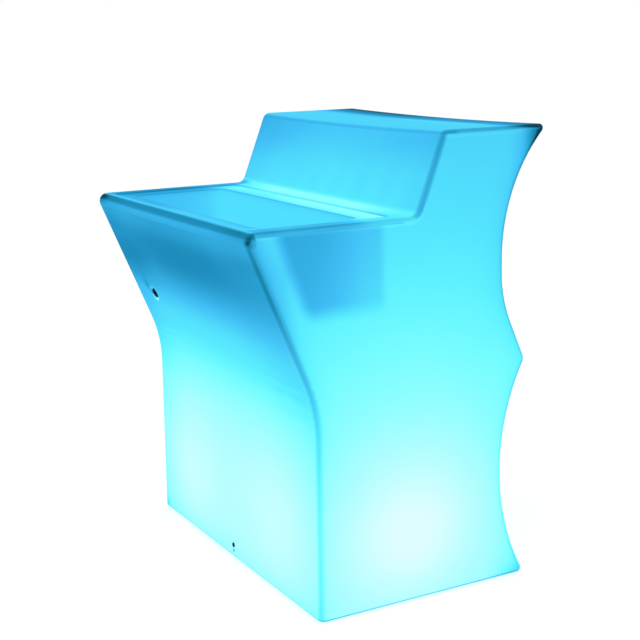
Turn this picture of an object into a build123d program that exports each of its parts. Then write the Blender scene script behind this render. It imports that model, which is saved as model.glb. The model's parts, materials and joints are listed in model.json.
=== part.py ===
from build123d import *
import os
from math import atan2, cos, degrees, radians, sin, tan

# Illuminated bar counter with an ice well: one hollow moulded shell, lit from inside.
# X runs along the bar, the staff stand at -Y, the guests at +Y, Z is up from the floor.
os.makedirs("parts", exist_ok=True)

# Heights of the shell, from the floor up
base_z = 3.0                # the feet hold the shell this far off the floor
bend_height = 522.7         # where the lower staff face bends out
overhang_rise = 430.3       # from that bend to the work deck
shelf_rise = 197.0          # from the work deck to the guest shelf
upper_hollow_height = 318.0     # guest side: from the shelf down to its slim waist
waist_length = 35.0         # upright stretch between the arcs at that waist
middle_hollow_height = 228.0    # from there down to the ridge
lower_waist_share = 0.4965  # of the ridge's height over the shell's bottom

# Widths of the shell and places along Y
shelf_width = 937.0         # along the bar, at the guest shelf
end_flare = 8.9             # how far each end leans out between the shelf and the floor
wall = 6.0                  # moulded wall of the shell
staff_foot_y = -249.7       # lower staff face at the floor
bend_y = -246.2             # lower staff face where it bends out
deck_nose_y = -422.3        # staff edge of the work deck
riser_foot_y = 31.3         # back of the work deck
riser_top_y = 108.8         # staff edge of the guest shelf
shelf_tip_y = 424.2         # guest edge of the shelf, before rounding
waist_y = 287.6             # slimmest place of the guest side's upper hollow
ridge_y = 357.7             # ridge between the two hollows
ridge_flank = 23.4          # degrees that the straight flank above the ridge leans
lower_waist_y = 284.9
guest_foot_y = 359.3

# Roundings of the shell
bend_radius = 360.0
nose_radius = 22.0
riser_foot_radius = 25.0
riser_top_radius = 22.0
shelf_tip_radius = 9.0
ridge_radius = 24.0
end_radius = 20.0           # between the outline and the flat ends
floor_edge_radius = 8.0

# Ice tub, which drops into the work deck
end_strip = 49.5            # deck outside the tub's flange, at both ends
staff_strip = 38.5
riser_strip = 41.1
flange_thickness = 5.0
flange_sink = 4.0           # the flange lies this far below the deck
flange_corner = 17.0
flange_edge_radius = 1.5
end_rim = 39.0              # width of the flange round the mouth
staff_rim = 43.0
riser_rim = 61.0
tub_wall = 4.0
tub_depth = 174.0
end_taper = 6.0             # how far the walls close in from the mouth to the floor
staff_taper = 62.0
riser_taper = 8.0
tub_mouth_corner = 30.0
tub_floor_corner = 24.0
tub_floor_radius = 16.0
tub_rim_radius = 5.0
tub_play = 1.0              # gap round the flange
aperture_play = 4.0         # gap round the tub under its flange

# Drain
drain_end_inset = 42.2      # from the end of the tub's floor
drain_staff_inset = 55.5    # from the staff side of the tub's floor
drain_bore_radius = 11.0
drain_tube_radius = 14.0
drain_flange_radius = 25.0
drain_flange_thickness = 3.0
drain_tail_length = 26.0    # below the tub's floor
drain_gasket_radius = 23.0
drain_gasket_thickness = 2.0
drain_nut_radius = 23.0
drain_nut_height = 8.0
grate_bar = 2.5
thread_play = 0.1
fit_play = 0.3              # clearance of pieces that slide in one another
stopper_depth = 9.0
stopper_taper = 0.8
stopper_lip_radius = 15.0
stopper_lip_thickness = 3.0
stopper_knob_radius = 6.0
stopper_knob_height = 14.0
stopper_neck_radius = 3.5

outlet_dimple_radius = 22.0
outlet_dimple_depth = 4.0
outlet_flange_radius = 14.0
outlet_flange_thickness = 3.0
outlet_tube_radius = 10.0
outlet_bore_radius = 8.0
outlet_tube_length = 26.0   # behind the flange
outlet_gasket_radius = 17.0
outlet_gasket_thickness = 2.0
outlet_nut_radius = 17.0
outlet_nut_height = 6.0
elbow_bore_radius = 7.0
elbow_wall = 3.0
elbow_bend_radius = 28.0
elbow_socket_depth = 10.0
cup_mouth_radius = 21.0
cup_wall = 2.5
cup_rim_height = 8.0
cup_cone_height = 16.7
cup_gap = 3.0               # between the cup's rim and the drain nut

# Base plate and its seat in the shell's floor
plate_end_inset = 127.4     # from the shell's outer faces at the floor
plate_staff_inset = 64.7
plate_guest_inset = 184.3
plate_thickness = 3.0
plate_corner = 30.0
plate_play = 1.0            # gap round the plate
gasket_thickness = 1.5
plate_sink = 2.5            # the plate lies this far inside the shell's underside
seat_width = 24.0           # ledge of the shell that the plate is screwed to
plate_screw_inset = 10.0
plate_screws_long = 5       # along each long side
plate_screws_short = 2      # along each short side, between the corners
screw_radius = 2.0
screw_length = 12.0
screw_head_radius = 4.0
screw_head_height = 2.0
screw_play = 0.2
boss_radius = 7.0
boss_height = 12.0

# Feet
foot_radius = 15.0
foot_stem_radius = 4.0
foot_head_radius = 6.5
foot_head_height = 3.0
foot_edge_radius = 1.0
foot_columns = 3
foot_inset_x = 40.0
foot_staff_inset = 34.0
foot_guest_inset = 44.0

# Lamps
lamp_gap = 13.0             # from the lamps to the edge of the service opening
lamp_y = -15.0
lamp_radius = 88.0
lamp_tray_thickness = 4.0
lamp_land_radius = 68.0
lamp_land_height = 2.0
lamp_board_radius = 64.0
lamp_board_thickness = 1.6
led_size = 5.0
led_height = 1.6
led_ring_radii = (18.0, 36.0, 54.0)
led_ring_counts = (6, 10, 14)
dome_radius = 74.0
dome_height = 38.0
dome_wall = 2.5
dome_flange_thickness = 3.0
lamp_screw_radius = 1.5
lamp_screw_head_radius = 3.2
lamp_screw_head_height = 2.2
lamp_screw_count = 4
lamp_groove_width = 5.0
lamp_pocket_width = 11.0
lamp_pocket_start = 34.0    # from the lamp's middle
lamp_pocket_end = 46.0

# Charging jack and power button
port_x = 0.0
port_recess = 0.5           # flat recesses that the jack and the button seat in
port_margin = 1.0
jack_height = 38.5
jack_flange_radius = 6.5
jack_flange_thickness = 2.0
jack_body_radius = 5.0
jack_body_length = 24.0
jack_bore_radius = 3.2
jack_bore_depth = 10.0
jack_pin_radius = 1.0
jack_pin_length = 8.0
jack_nut_radius = 8.0
jack_nut_thickness = 3.0
button_height = 23.0
button_radius = 2.4
button_stand = 2.2          # how far the button stands out of its bezel
button_depth = 6.0
button_travel = 1.2
button_bezel_radius = 4.3
button_bezel_thickness = 1.2
button_body_radius = 3.3
button_body_length = 18.0
button_nut_radius = 6.0
button_nut_thickness = 2.0

# Control box
box_length = 120.0
box_depth = 80.0
box_height = 30.0
box_wall = 2.0
box_y = -75.0
box_corner = 6.0
box_post_radius = 4.0
box_post_inset = 8.0
box_lid_thickness = 2.0
box_ear_length = 12.0
box_ear_depth = 20.0
box_ear_thickness = 3.0
board_play = 1.5
board_thickness = 1.6
board_lift = 7.0
board_notch = 12.5
pillar_radius = 3.0
receiver_length = 26.0
receiver_depth = 16.0
receiver_thickness = 1.2
receiver_lift = 6.0
pin_strip_depth = 3.0
receiver_share = (-0.2, 0.25)   # places on the board, as shares of its length and depth
coil_share = (0.3, -0.12)
capacitor_share = (0.14, -0.12)
chip_shares = ((-0.28, 0), (-0.08, 0))
coil_radius = 6.0
coil_height = 7.0
capacitor_radius = 5.0
capacitor_height = 13.0
chip_length = 14.0
chip_depth = 9.0
chip_height = 2.5
socket_width = 9.0
socket_stand = 4.0          # outside the box
socket_reach = 5.0          # inside the box
socket_height = 7.0
side_socket_y = -55.0
button_socket_x = 22.0
small_screw_radius = 1.4
small_screw_head_radius = 2.8
small_screw_head_height = 1.8
small_screw_length = 9.0

# Battery
cell_radius = 9.2
cell_length = 65.0
cell_columns = 4
cell_rows = 2
cell_gap = 0.4
battery_y = 87.0
sleeve_thickness = 0.8
end_plate_thickness = 1.2
cradle_thickness = 2.0
cradle_wall_height = 16.0
cradle_ear_length = 14.0
strap_width = 22.0
strap_thickness = 1.5

# Leads
lead_radius = 1.8
lead_ease_share = 0.25      # of a lead's way, straight at each end
lead_bend_share = 0.45      # of the shorter run, taken by a bend

# Heights worked out from the sizes above
overrun = 2 * wall
deck_height = bend_height + overhang_rise
counter_height = deck_height + shelf_rise
waist_top = counter_height - upper_hollow_height
waist_bottom = waist_top - waist_length
ridge_height = waist_bottom - middle_hollow_height
lower_waist_height = base_z + lower_waist_share * (ridge_height - base_z)
flange_top = deck_height - flange_sink
flange_bottom = flange_top - flange_thickness
tub_floor_top = flange_top - tub_depth
tub_floor_bottom = tub_floor_top - tub_wall
plate_z = base_z + plate_sink
plate_top = plate_z + plate_thickness
seat_z = plate_top + gasket_thickness

# Plan sizes worked out: the flange fills the deck between its strips, the tub hangs in the flange
flange_length = shelf_width - 2 * end_strip
flange_staff = deck_nose_y + staff_strip
flange_riser = riser_foot_y - riser_strip
mouth_length = flange_length - 2 * end_rim
mouth_staff = flange_staff + staff_rim
mouth_riser = flange_riser - riser_rim
floor_length = mouth_length - 2 * end_taper
floor_staff = mouth_staff + staff_taper
floor_riser = mouth_riser - riser_taper
plate_length = shelf_width + 2 * end_flare - 2 * plate_end_inset
plate_staff = staff_foot_y + plate_staff_inset
plate_guest = guest_foot_y - plate_guest_inset
plate_y = (plate_staff + plate_guest) / 2
plate_depth = plate_guest - plate_staff
opening_edge = seat_width - plate_play
lamp_x = plate_length / 2 - opening_edge - lamp_gap - lamp_radius

# The elbow's upright end stands under the drain, and its straight run is square to the slanted face
lean = atan2(bend_y - deck_nose_y, overhang_rise)
outlet_x = drain_end_inset - floor_length / 2
drain_y = floor_staff + drain_staff_inset
drain_nut_bottom = tub_floor_bottom - drain_gasket_thickness - drain_nut_height
cup_rim = drain_nut_bottom - cup_gap
bend_end_z = cup_rim - cup_rim_height - cup_cone_height
turn_y = drain_y - elbow_bend_radius * (1 - sin(lean))
turn_z = bend_end_z - elbow_bend_radius * cos(lean)
elbow_run = (turn_y - deck_nose_y) * cos(lean) + (turn_z - deck_height) * sin(lean)
outlet_y = turn_y - elbow_run * cos(lean)
outlet_z = turn_z - elbow_run * sin(lean)


def finish(piece, name):
    """Name a finished piece and write its file."""
    piece.part.label = name
    export_step(piece.part, f"parts/{name}.step")


def half_width(height):
    """Half of the shell's width at a height: its ends lean out towards the floor."""
    return shelf_width / 2 + end_flare * (counter_height - height) / counter_height


def plan_sketch(height, length, staff, guest, corner, grow=0):
    """A rounded rectangle at a height, between two places along Y, grown on all sides."""
    with BuildSketch(Plane.XY.offset(height)) as plan:
        with Locations((0, (staff + guest) / 2)):
            RectangleRounded(length + 2 * grow, guest - staff + 2 * grow, corner + grow)
    return plan.sketch


# Shell: the outline of the ends is drawn once, and used for the outside and for the space inside
def shell_form(inset):
    """The rounded counter, with its skin moved in by the inset."""
    flank = radians(ridge_flank)
    reach = ridge_y - waist_y
    fall = waist_bottom - ridge_height
    radius = (fall * sin(flank) - reach * cos(flank)) / (1 - cos(flank))
    hollow_end = (waist_y + radius * (1 - cos(flank)), waist_bottom - radius * sin(flank))
    roundings = (
        ((bend_y, bend_height), bend_radius + inset),
        ((deck_nose_y, deck_height), nose_radius),
        ((riser_foot_y, deck_height), riser_foot_radius + inset),
        ((riser_top_y, counter_height), riser_top_radius),
        ((shelf_tip_y, counter_height), shelf_tip_radius if inset == 0 else end_radius),
        ((ridge_y, ridge_height), ridge_radius),
    )
    with BuildPart() as form:
        with BuildSketch(Plane.YZ) as outline:
            with BuildLine():
                Polyline(
                    (guest_foot_y, base_z),
                    (staff_foot_y, base_z),
                    (bend_y, bend_height),
                    (deck_nose_y, deck_height),
                    (riser_foot_y, deck_height),
                    (riser_top_y, counter_height),
                    (shelf_tip_y, counter_height),
                )
                TangentArc((waist_y, waist_top), (shelf_tip_y, counter_height), tangent=(0, 1))
                Line((waist_y, waist_top), (waist_y, waist_bottom))
                TangentArc((waist_y, waist_bottom), hollow_end, tangent=(0, -1))
                Line(hollow_end, (ridge_y, ridge_height))
                ThreePointArc(
                    (ridge_y, ridge_height),
                    (lower_waist_y, lower_waist_height),
                    (guest_foot_y, base_z),
                )
            make_face()
            if inset > 0:
                offset(amount=-inset, kind=Kind.INTERSECTION)
            for corner, radius in roundings:
                fillet(outline.vertices().sort_by_distance(corner)[0], radius)
        extrude(amount=half_width(0) + overrun, both=True)
        with BuildSketch(Plane.XZ):
            with BuildLine():
                Polyline(
                    (half_width(0) - inset, 0),
                    (half_width(counter_height) - inset, counter_height),
                    (inset - half_width(counter_height), counter_height),
                    (inset - half_width(0), 0),
                    close=True,
                )
            make_face()
        extrude(amount=shelf_tip_y - deck_nose_y, both=True, mode=Mode.INTERSECT)
        ends = form.faces().sort_by(Axis.X)
        rims = ends[0].edges() + ends[-1].edges()
        fillet(rims.filter_by(lambda rim: rim.center().Z > base_z + overrun), end_radius - inset)
        fillet(form.faces().sort_by(Axis.Z)[0].edges(), floor_edge_radius - inset)
    return form.part


outside = shell_form(0)
inside = shell_form(wall)
outlet = Plane((outlet_x, outlet_y, outlet_z), x_dir=(1, 0, 0), z_dir=(0, cos(lean), sin(lean)))


def port_plane(height):
    """A plane across Y at the bottom of the recess in the staff face at a height."""
    face_y = staff_foot_y + (bend_y - staff_foot_y) * (height - base_z) / (bend_height - base_z)
    return Plane((port_x, face_y + port_recess, 0), x_dir=(1, 0, 0), z_dir=(0, 1, 0))


jack_plane = port_plane(jack_height)
button_plane = port_plane(button_height)


# Places of the screws that hold the base plate: along its edge, clear of its rounded corners
def plate_screw_places():
    straight = plate_length - 2 * plate_corner
    across = plate_length - 2 * plate_screw_inset
    deep = plate_depth - 2 * plate_screw_inset
    places = []
    for side in (-1, 1):
        for i in range(plate_screws_long):
            places.append((straight * (i / (plate_screws_long - 1) - 0.5), plate_y + side * deep / 2))
        for i in range(plate_screws_short):
            share = (i + 1) / (plate_screws_short + 1) - 0.5
            places.append((side * across / 2, plate_y + deep * share))
    return places


# Places of the feet, in rows along the staff side and the guest side
def foot_places():
    first = half_width(0) - foot_inset_x
    rows = (staff_foot_y + foot_staff_inset, guest_foot_y - foot_guest_inset)
    return [
        (first * (2 * i / (foot_columns - 1) - 1), y)
        for y in rows
        for i in range(foot_columns)
    ]


# Space inside the shell: it gives way behind each recess, so that the wall stays whole
with BuildPart() as cavity:
    add(inside)
    add(plan_sketch(flange_bottom - wall, flange_length, flange_staff, flange_riser, flange_corner,
                    tub_play + wall))
    extrude(amount=wall + flange_sink + flange_thickness, mode=Mode.SUBTRACT)
    add(plan_sketch(base_z, plate_length, plate_staff, plate_guest, plate_corner, plate_play + wall))
    extrude(amount=seat_z + wall - base_z, mode=Mode.SUBTRACT)
    with BuildSketch(outlet):
        Circle(outlet_dimple_radius + wall)
    extrude(amount=outlet_dimple_depth + wall, mode=Mode.SUBTRACT)

with BuildPart() as body_shell:
    add(outside)
    add(cavity.part, mode=Mode.SUBTRACT)
    add(plan_sketch(flange_bottom, flange_length, flange_staff, flange_riser, flange_corner, tub_play))
    extrude(amount=flange_sink + flange_thickness + overrun, mode=Mode.SUBTRACT)
    add(plan_sketch(flange_bottom - overrun, mouth_length, mouth_staff, mouth_riser, tub_mouth_corner,
                    tub_wall + aperture_play))
    extrude(amount=2 * overrun, mode=Mode.SUBTRACT)
    add(plan_sketch(base_z - overrun, plate_length, plate_staff, plate_guest, plate_corner, plate_play))
    extrude(amount=seat_z - base_z + overrun, mode=Mode.SUBTRACT)
    with BuildSketch(Plane.XY.offset(seat_z)):
        with Locations(*plate_screw_places()):
            Circle(boss_radius)
    extrude(amount=boss_height)
    add(plan_sketch(base_z, plate_length, plate_staff, plate_guest, plate_corner, -opening_edge))
    extrude(amount=seat_z + wall + overrun - base_z, mode=Mode.SUBTRACT)
    with BuildSketch(Plane.XY.offset(seat_z)):
        with Locations(*plate_screw_places()):
            Circle(screw_radius + thread_play)
    extrude(amount=boss_height - wall / 2, mode=Mode.SUBTRACT)
    with BuildSketch(Plane.XY.offset(base_z - overrun)):
        with Locations(*foot_places()):
            Circle(foot_stem_radius + fit_play)
    extrude(amount=2 * overrun, mode=Mode.SUBTRACT)
    with BuildSketch(outlet.offset(-overrun)):
        Circle(outlet_dimple_radius)
    extrude(amount=overrun + outlet_dimple_depth, mode=Mode.SUBTRACT)
    with BuildSketch(outlet):
        Circle(outlet_tube_radius + fit_play)
    extrude(amount=2 * overrun, mode=Mode.SUBTRACT)
    for plane, height, hole, recess in (
        (jack_plane, jack_height, jack_body_radius + fit_play, jack_flange_radius + port_margin),
        (button_plane, button_height, button_body_radius + fit_play, button_bezel_radius + port_margin),
    ):
        with BuildSketch(plane):
            with Locations((0, -height)):
                Circle(hole)
        extrude(amount=2 * wall, mode=Mode.SUBTRACT)
        with BuildSketch(plane):
            with Locations((0, -height)):
                Circle(recess)
        extrude(amount=-overrun, mode=Mode.SUBTRACT)
finish(body_shell, "body_shell")


def turned_sketch(x, y, outline):
    """An outline of radii and heights beside the upright axis at a place."""
    with BuildSketch(Plane((x, y, 0), x_dir=(1, 0, 0), z_dir=(0, -1, 0))) as half:
        with BuildLine():
            Polyline(*outline, close=True)
        make_face()
    return half.sketch


def upright(x, y):
    return Axis((x, y, 0), (0, 0, 1))


# Ice tub: a tapered trough whose staff side follows the overhang, hung by its flange
def tub_form(grow):
    """The trough's space, or its outside when grown by the wall."""
    with BuildPart() as form:
        add(plan_sketch(tub_floor_top - grow, floor_length, floor_staff, floor_riser,
                        tub_floor_corner, grow))
        add(plan_sketch(flange_top, mouth_length, mouth_staff, mouth_riser, tub_mouth_corner, grow))
        loft()
        fillet(form.faces().sort_by(Axis.Z)[0].edges(), tub_floor_radius + grow)
    return form.part


trough_outside = tub_form(tub_wall)
trough_inside = tub_form(0)

with BuildPart() as ice_tub:
    add(trough_outside)
    add(plan_sketch(flange_bottom, flange_length, flange_staff, flange_riser, flange_corner))
    extrude(amount=flange_thickness)
    fillet(ice_tub.faces().sort_by(Axis.Z)[-1].edges(), flange_edge_radius)
    add(trough_inside, mode=Mode.SUBTRACT)
    fillet(ice_tub.faces().sort_by(Axis.Z)[-1].inner_wires()[0].edges(), tub_rim_radius)
    with BuildSketch(Plane.XY.offset(tub_floor_bottom)):
        with Locations((outlet_x, drain_y)):
            Circle(drain_tube_radius + fit_play)
    extrude(amount=tub_wall, mode=Mode.SUBTRACT)
finish(ice_tub, "ice_tub")

# Drain through the tub's floor: flanged tube with a grate, its gasket and its nut
drain_top = tub_floor_top + drain_flange_thickness
grate_top = drain_top - stopper_depth - fit_play
with BuildPart() as drain_body:
    add(turned_sketch(outlet_x, drain_y, (
        (drain_bore_radius, drain_top),
        (drain_flange_radius, drain_top),
        (drain_flange_radius, tub_floor_top),
        (drain_tube_radius, tub_floor_top),
        (drain_tube_radius, tub_floor_bottom - drain_tail_length),
        (drain_bore_radius, tub_floor_bottom - drain_tail_length),
    )))
    revolve(axis=upright(outlet_x, drain_y))
    fillet(drain_body.edges().group_by(Axis.Z)[-1].sort_by(SortBy.RADIUS)[-1], drain_flange_thickness / 2)
    with BuildSketch(Plane.XY.offset(grate_top)):
        with Locations((outlet_x, drain_y)):
            Rectangle(2 * drain_bore_radius + grate_bar, grate_bar)
            Rectangle(grate_bar, 2 * drain_bore_radius + grate_bar)
    extrude(amount=-grate_bar)
finish(drain_body, "drain_body")

with BuildPart() as drain_gasket:
    with BuildSketch(Plane.XY.offset(tub_floor_bottom - drain_gasket_thickness)):
        with Locations((outlet_x, drain_y)):
            Circle(drain_gasket_radius)
            Circle(drain_tube_radius + thread_play, mode=Mode.SUBTRACT)
    extrude(amount=drain_gasket_thickness)
finish(drain_gasket, "drain_gasket")

with BuildPart() as drain_nut:
    with BuildSketch(Plane.XY.offset(drain_nut_bottom)):
        with Locations((outlet_x, drain_y)):
            RegularPolygon(drain_nut_radius, 6)
            Circle(drain_tube_radius + thread_play, mode=Mode.SUBTRACT)
    extrude(amount=drain_nut_height)
finish(drain_nut, "drain_nut")

# Stopper: a tapered rubber plug with a lip and a knob to pull it by
stopper_neck_top = drain_top + stopper_lip_thickness + stopper_knob_height / 2
stopper_top = drain_top + stopper_lip_thickness + stopper_knob_height
with BuildPart() as drain_stopper:
    add(turned_sketch(outlet_x, drain_y, (
        (0, drain_top - stopper_depth),
        (drain_bore_radius - fit_play - stopper_taper, drain_top - stopper_depth),
        (drain_bore_radius - fit_play, drain_top),
        (stopper_lip_radius, drain_top),
        (stopper_lip_radius, drain_top + stopper_lip_thickness),
        (stopper_neck_radius, drain_top + stopper_lip_thickness),
        (stopper_neck_radius, stopper_neck_top),
        (stopper_knob_radius, stopper_neck_top),
        (stopper_knob_radius, stopper_top),
        (0, stopper_top),
    )))
    revolve(axis=upright(outlet_x, drain_y))
    fillet(drain_stopper.faces().sort_by(Axis.Z)[-1].edges(), stopper_knob_radius / 3)
finish(drain_stopper, "drain_stopper")

# Outlet through the slanted face: a flanged bush in the shell's dimple, its gasket and its nut
wall_inside = outlet_dimple_depth + wall
bush_end = outlet_dimple_depth + outlet_tube_length
with BuildPart() as drain_outlet:
    with BuildSketch(outlet.offset(outlet_dimple_depth - outlet_flange_thickness)):
        Circle(outlet_flange_radius)
    extrude(amount=outlet_flange_thickness)
    fillet(drain_outlet.edges().sort_by(Axis.Y)[0], outlet_flange_thickness / 3)
    with BuildSketch(outlet.offset(outlet_dimple_depth)):
        Circle(outlet_tube_radius)
    extrude(amount=outlet_tube_length)
    with BuildSketch(outlet.offset(outlet_dimple_depth - outlet_flange_thickness)):
        Circle(outlet_bore_radius)
    extrude(amount=outlet_flange_thickness + outlet_tube_length, mode=Mode.SUBTRACT)
finish(drain_outlet, "drain_outlet")

with BuildPart() as outlet_gasket:
    with BuildSketch(outlet.offset(wall_inside)):
        Circle(outlet_gasket_radius)
        Circle(outlet_tube_radius + thread_play, mode=Mode.SUBTRACT)
    extrude(amount=outlet_gasket_thickness)
finish(outlet_gasket, "outlet_gasket")

with BuildPart() as outlet_nut:
    with BuildSketch(outlet.offset(wall_inside + outlet_gasket_thickness)):
        RegularPolygon(outlet_nut_radius, 6)
        Circle(outlet_tube_radius + thread_play, mode=Mode.SUBTRACT)
    extrude(amount=outlet_nut_height)
finish(outlet_nut, "outlet_nut")

# Elbow: it slips over the bush and turns upright under the tub's drain
elbow_radius = elbow_bore_radius + elbow_wall
socket_bore = outlet_tube_radius + fit_play
with BuildPart() as drain_elbow:
    with BuildLine(Plane.YZ.offset(outlet_x)) as elbow_path:
        Line((outlet_y + bush_end * cos(lean), outlet_z + bush_end * sin(lean)), (turn_y, turn_z))
        JernArc((turn_y, turn_z), (cos(lean), sin(lean)), elbow_bend_radius, 90 - degrees(lean))
    with BuildSketch(outlet.offset(bush_end)):
        Circle(elbow_radius)
    sweep(path=elbow_path.wires()[0])
    with BuildSketch(outlet.offset(bush_end - elbow_socket_depth)):
        Circle(socket_bore + elbow_wall)
    extrude(amount=elbow_socket_depth + elbow_wall)
    with BuildSketch(outlet.offset(bush_end)):
        Circle(elbow_bore_radius)
    sweep(path=elbow_path.wires()[0], mode=Mode.SUBTRACT)
    with BuildSketch(outlet.offset(bush_end - elbow_socket_depth)):
        Circle(socket_bore)
    extrude(amount=elbow_socket_depth, mode=Mode.SUBTRACT)
finish(drain_elbow, "drain_elbow")

# Funnel, welded on the elbow's upright end: it catches the water when the tub stands in place
with BuildPart() as drain_funnel:
    add(turned_sketch(outlet_x, drain_y, (
        (elbow_bore_radius, bend_end_z),
        (elbow_radius, bend_end_z),
        (cup_mouth_radius + cup_wall, cup_rim - cup_rim_height),
        (cup_mouth_radius + cup_wall, cup_rim),
        (cup_mouth_radius, cup_rim),
        (cup_mouth_radius, cup_rim - cup_rim_height),
    )))
    revolve(axis=upright(outlet_x, drain_y))
finish(drain_funnel, "drain_funnel")

# Base plate: it closes the shell's floor and carries the lamps, the battery and the control box
lamp_places = ((-lamp_x, lamp_y), (lamp_x, lamp_y))
lamp_screw_ring = (dome_radius + lamp_radius) / 2
ear_screw_x = box_length / 2 + box_ear_length / 2
pack_width = cell_columns * 2 * cell_radius + (cell_columns - 1) * cell_gap
pack_height = cell_rows * 2 * cell_radius + (cell_rows - 1) * cell_gap
sleeve_width = pack_width + 2 * (sleeve_thickness + cell_gap)
sleeve_height = pack_height + 2 * (sleeve_thickness + cell_gap)
cradle_width = sleeve_width + 2 * (cell_gap + cradle_thickness)
strap_screw_x = cradle_width / 2 + cradle_ear_length / 2


# Places of the small screws: the control box has one at each end, and so has the battery strap
box_screws = ((-ear_screw_x, box_y), (ear_screw_x, box_y))
strap_screws = ((-strap_screw_x, battery_y), (strap_screw_x, battery_y))


def screw_ring(x, y):
    """Places of the screws round one lamp, clear of its lead."""
    angles = [radians(360 * (i + 0.5) / lamp_screw_count) for i in range(lamp_screw_count)]
    return [(x + lamp_screw_ring * cos(angle), y + lamp_screw_ring * sin(angle)) for angle in angles]


lamp_screw_places = [place for lamp in lamp_places for place in screw_ring(*lamp)]


with BuildPart() as base_plate:
    add(plan_sketch(plate_z, plate_length, plate_staff, plate_guest, plate_corner))
    extrude(amount=plate_thickness)
    with BuildSketch(Plane.XY.offset(plate_z)):
        with Locations(*plate_screw_places()):
            Circle(screw_radius + screw_play)
        with Locations(*lamp_screw_places):
            Circle(lamp_screw_radius + thread_play)
        with Locations(*box_screws, *strap_screws):
            Circle(small_screw_radius + thread_play)
    extrude(amount=plate_thickness, mode=Mode.SUBTRACT)
finish(base_plate, "base_plate")

with BuildPart() as base_gasket:
    add(plan_sketch(plate_top, plate_length, plate_staff, plate_guest, plate_corner))
    extrude(amount=gasket_thickness)
    add(plan_sketch(plate_top, plate_length, plate_staff, plate_guest, plate_corner, -opening_edge))
    extrude(amount=gasket_thickness, mode=Mode.SUBTRACT)
    with BuildSketch(Plane.XY.offset(plate_top)):
        with Locations(*plate_screw_places()):
            Circle(screw_radius + screw_play)
    extrude(amount=gasket_thickness, mode=Mode.SUBTRACT)
finish(base_gasket, "base_gasket")

with BuildPart() as base_plate_screws:
    with BuildSketch(Plane.XY.offset(plate_z - screw_head_height)):
        with Locations(*plate_screw_places()):
            Circle(screw_head_radius)
    extrude(amount=screw_head_height)
    with BuildSketch(Plane.XY.offset(plate_z)):
        with Locations(*plate_screw_places()):
            Circle(screw_radius)
    extrude(amount=screw_length)
finish(base_plate_screws, "base_plate_screws")

# Rubber feet, pushed through the shell's floor
with BuildPart() as rubber_feet:
    for x, y in foot_places():
        add(turned_sketch(x, y, (
            (0, 0),
            (foot_radius - foot_edge_radius, 0),
            (foot_radius, foot_edge_radius),
            (foot_radius, base_z),
            (foot_stem_radius, base_z),
            (foot_stem_radius, base_z + wall),
            (foot_head_radius, base_z + wall),
            (foot_stem_radius, base_z + wall + foot_head_height),
            (0, base_z + wall + foot_head_height),
        )))
        revolve(axis=upright(x, y))
finish(rubber_feet, "rubber_feet")

# Lamps: a tray that spreads the heat, a board with rings of light chips, and a milky dome
tray_top = plate_top + lamp_tray_thickness
land_top = tray_top + lamp_land_height
board_top = land_top + lamp_board_thickness
dome_seat = tray_top + dome_flange_thickness
pocket_middle = (lamp_pocket_start + lamp_pocket_end) / 2


def dome_arc(radius, height):
    """A shallow cap's outline from its rim to its top, as three points on a circle."""
    ball = (radius**2 + height**2) / (2 * height)
    half_angle = atan2(radius, ball - height) / 2
    middle = (ball * sin(half_angle), dome_seat + height - ball * (1 - cos(half_angle)))
    ThreePointArc((radius, dome_seat), middle, (0, dome_seat + height))


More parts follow.
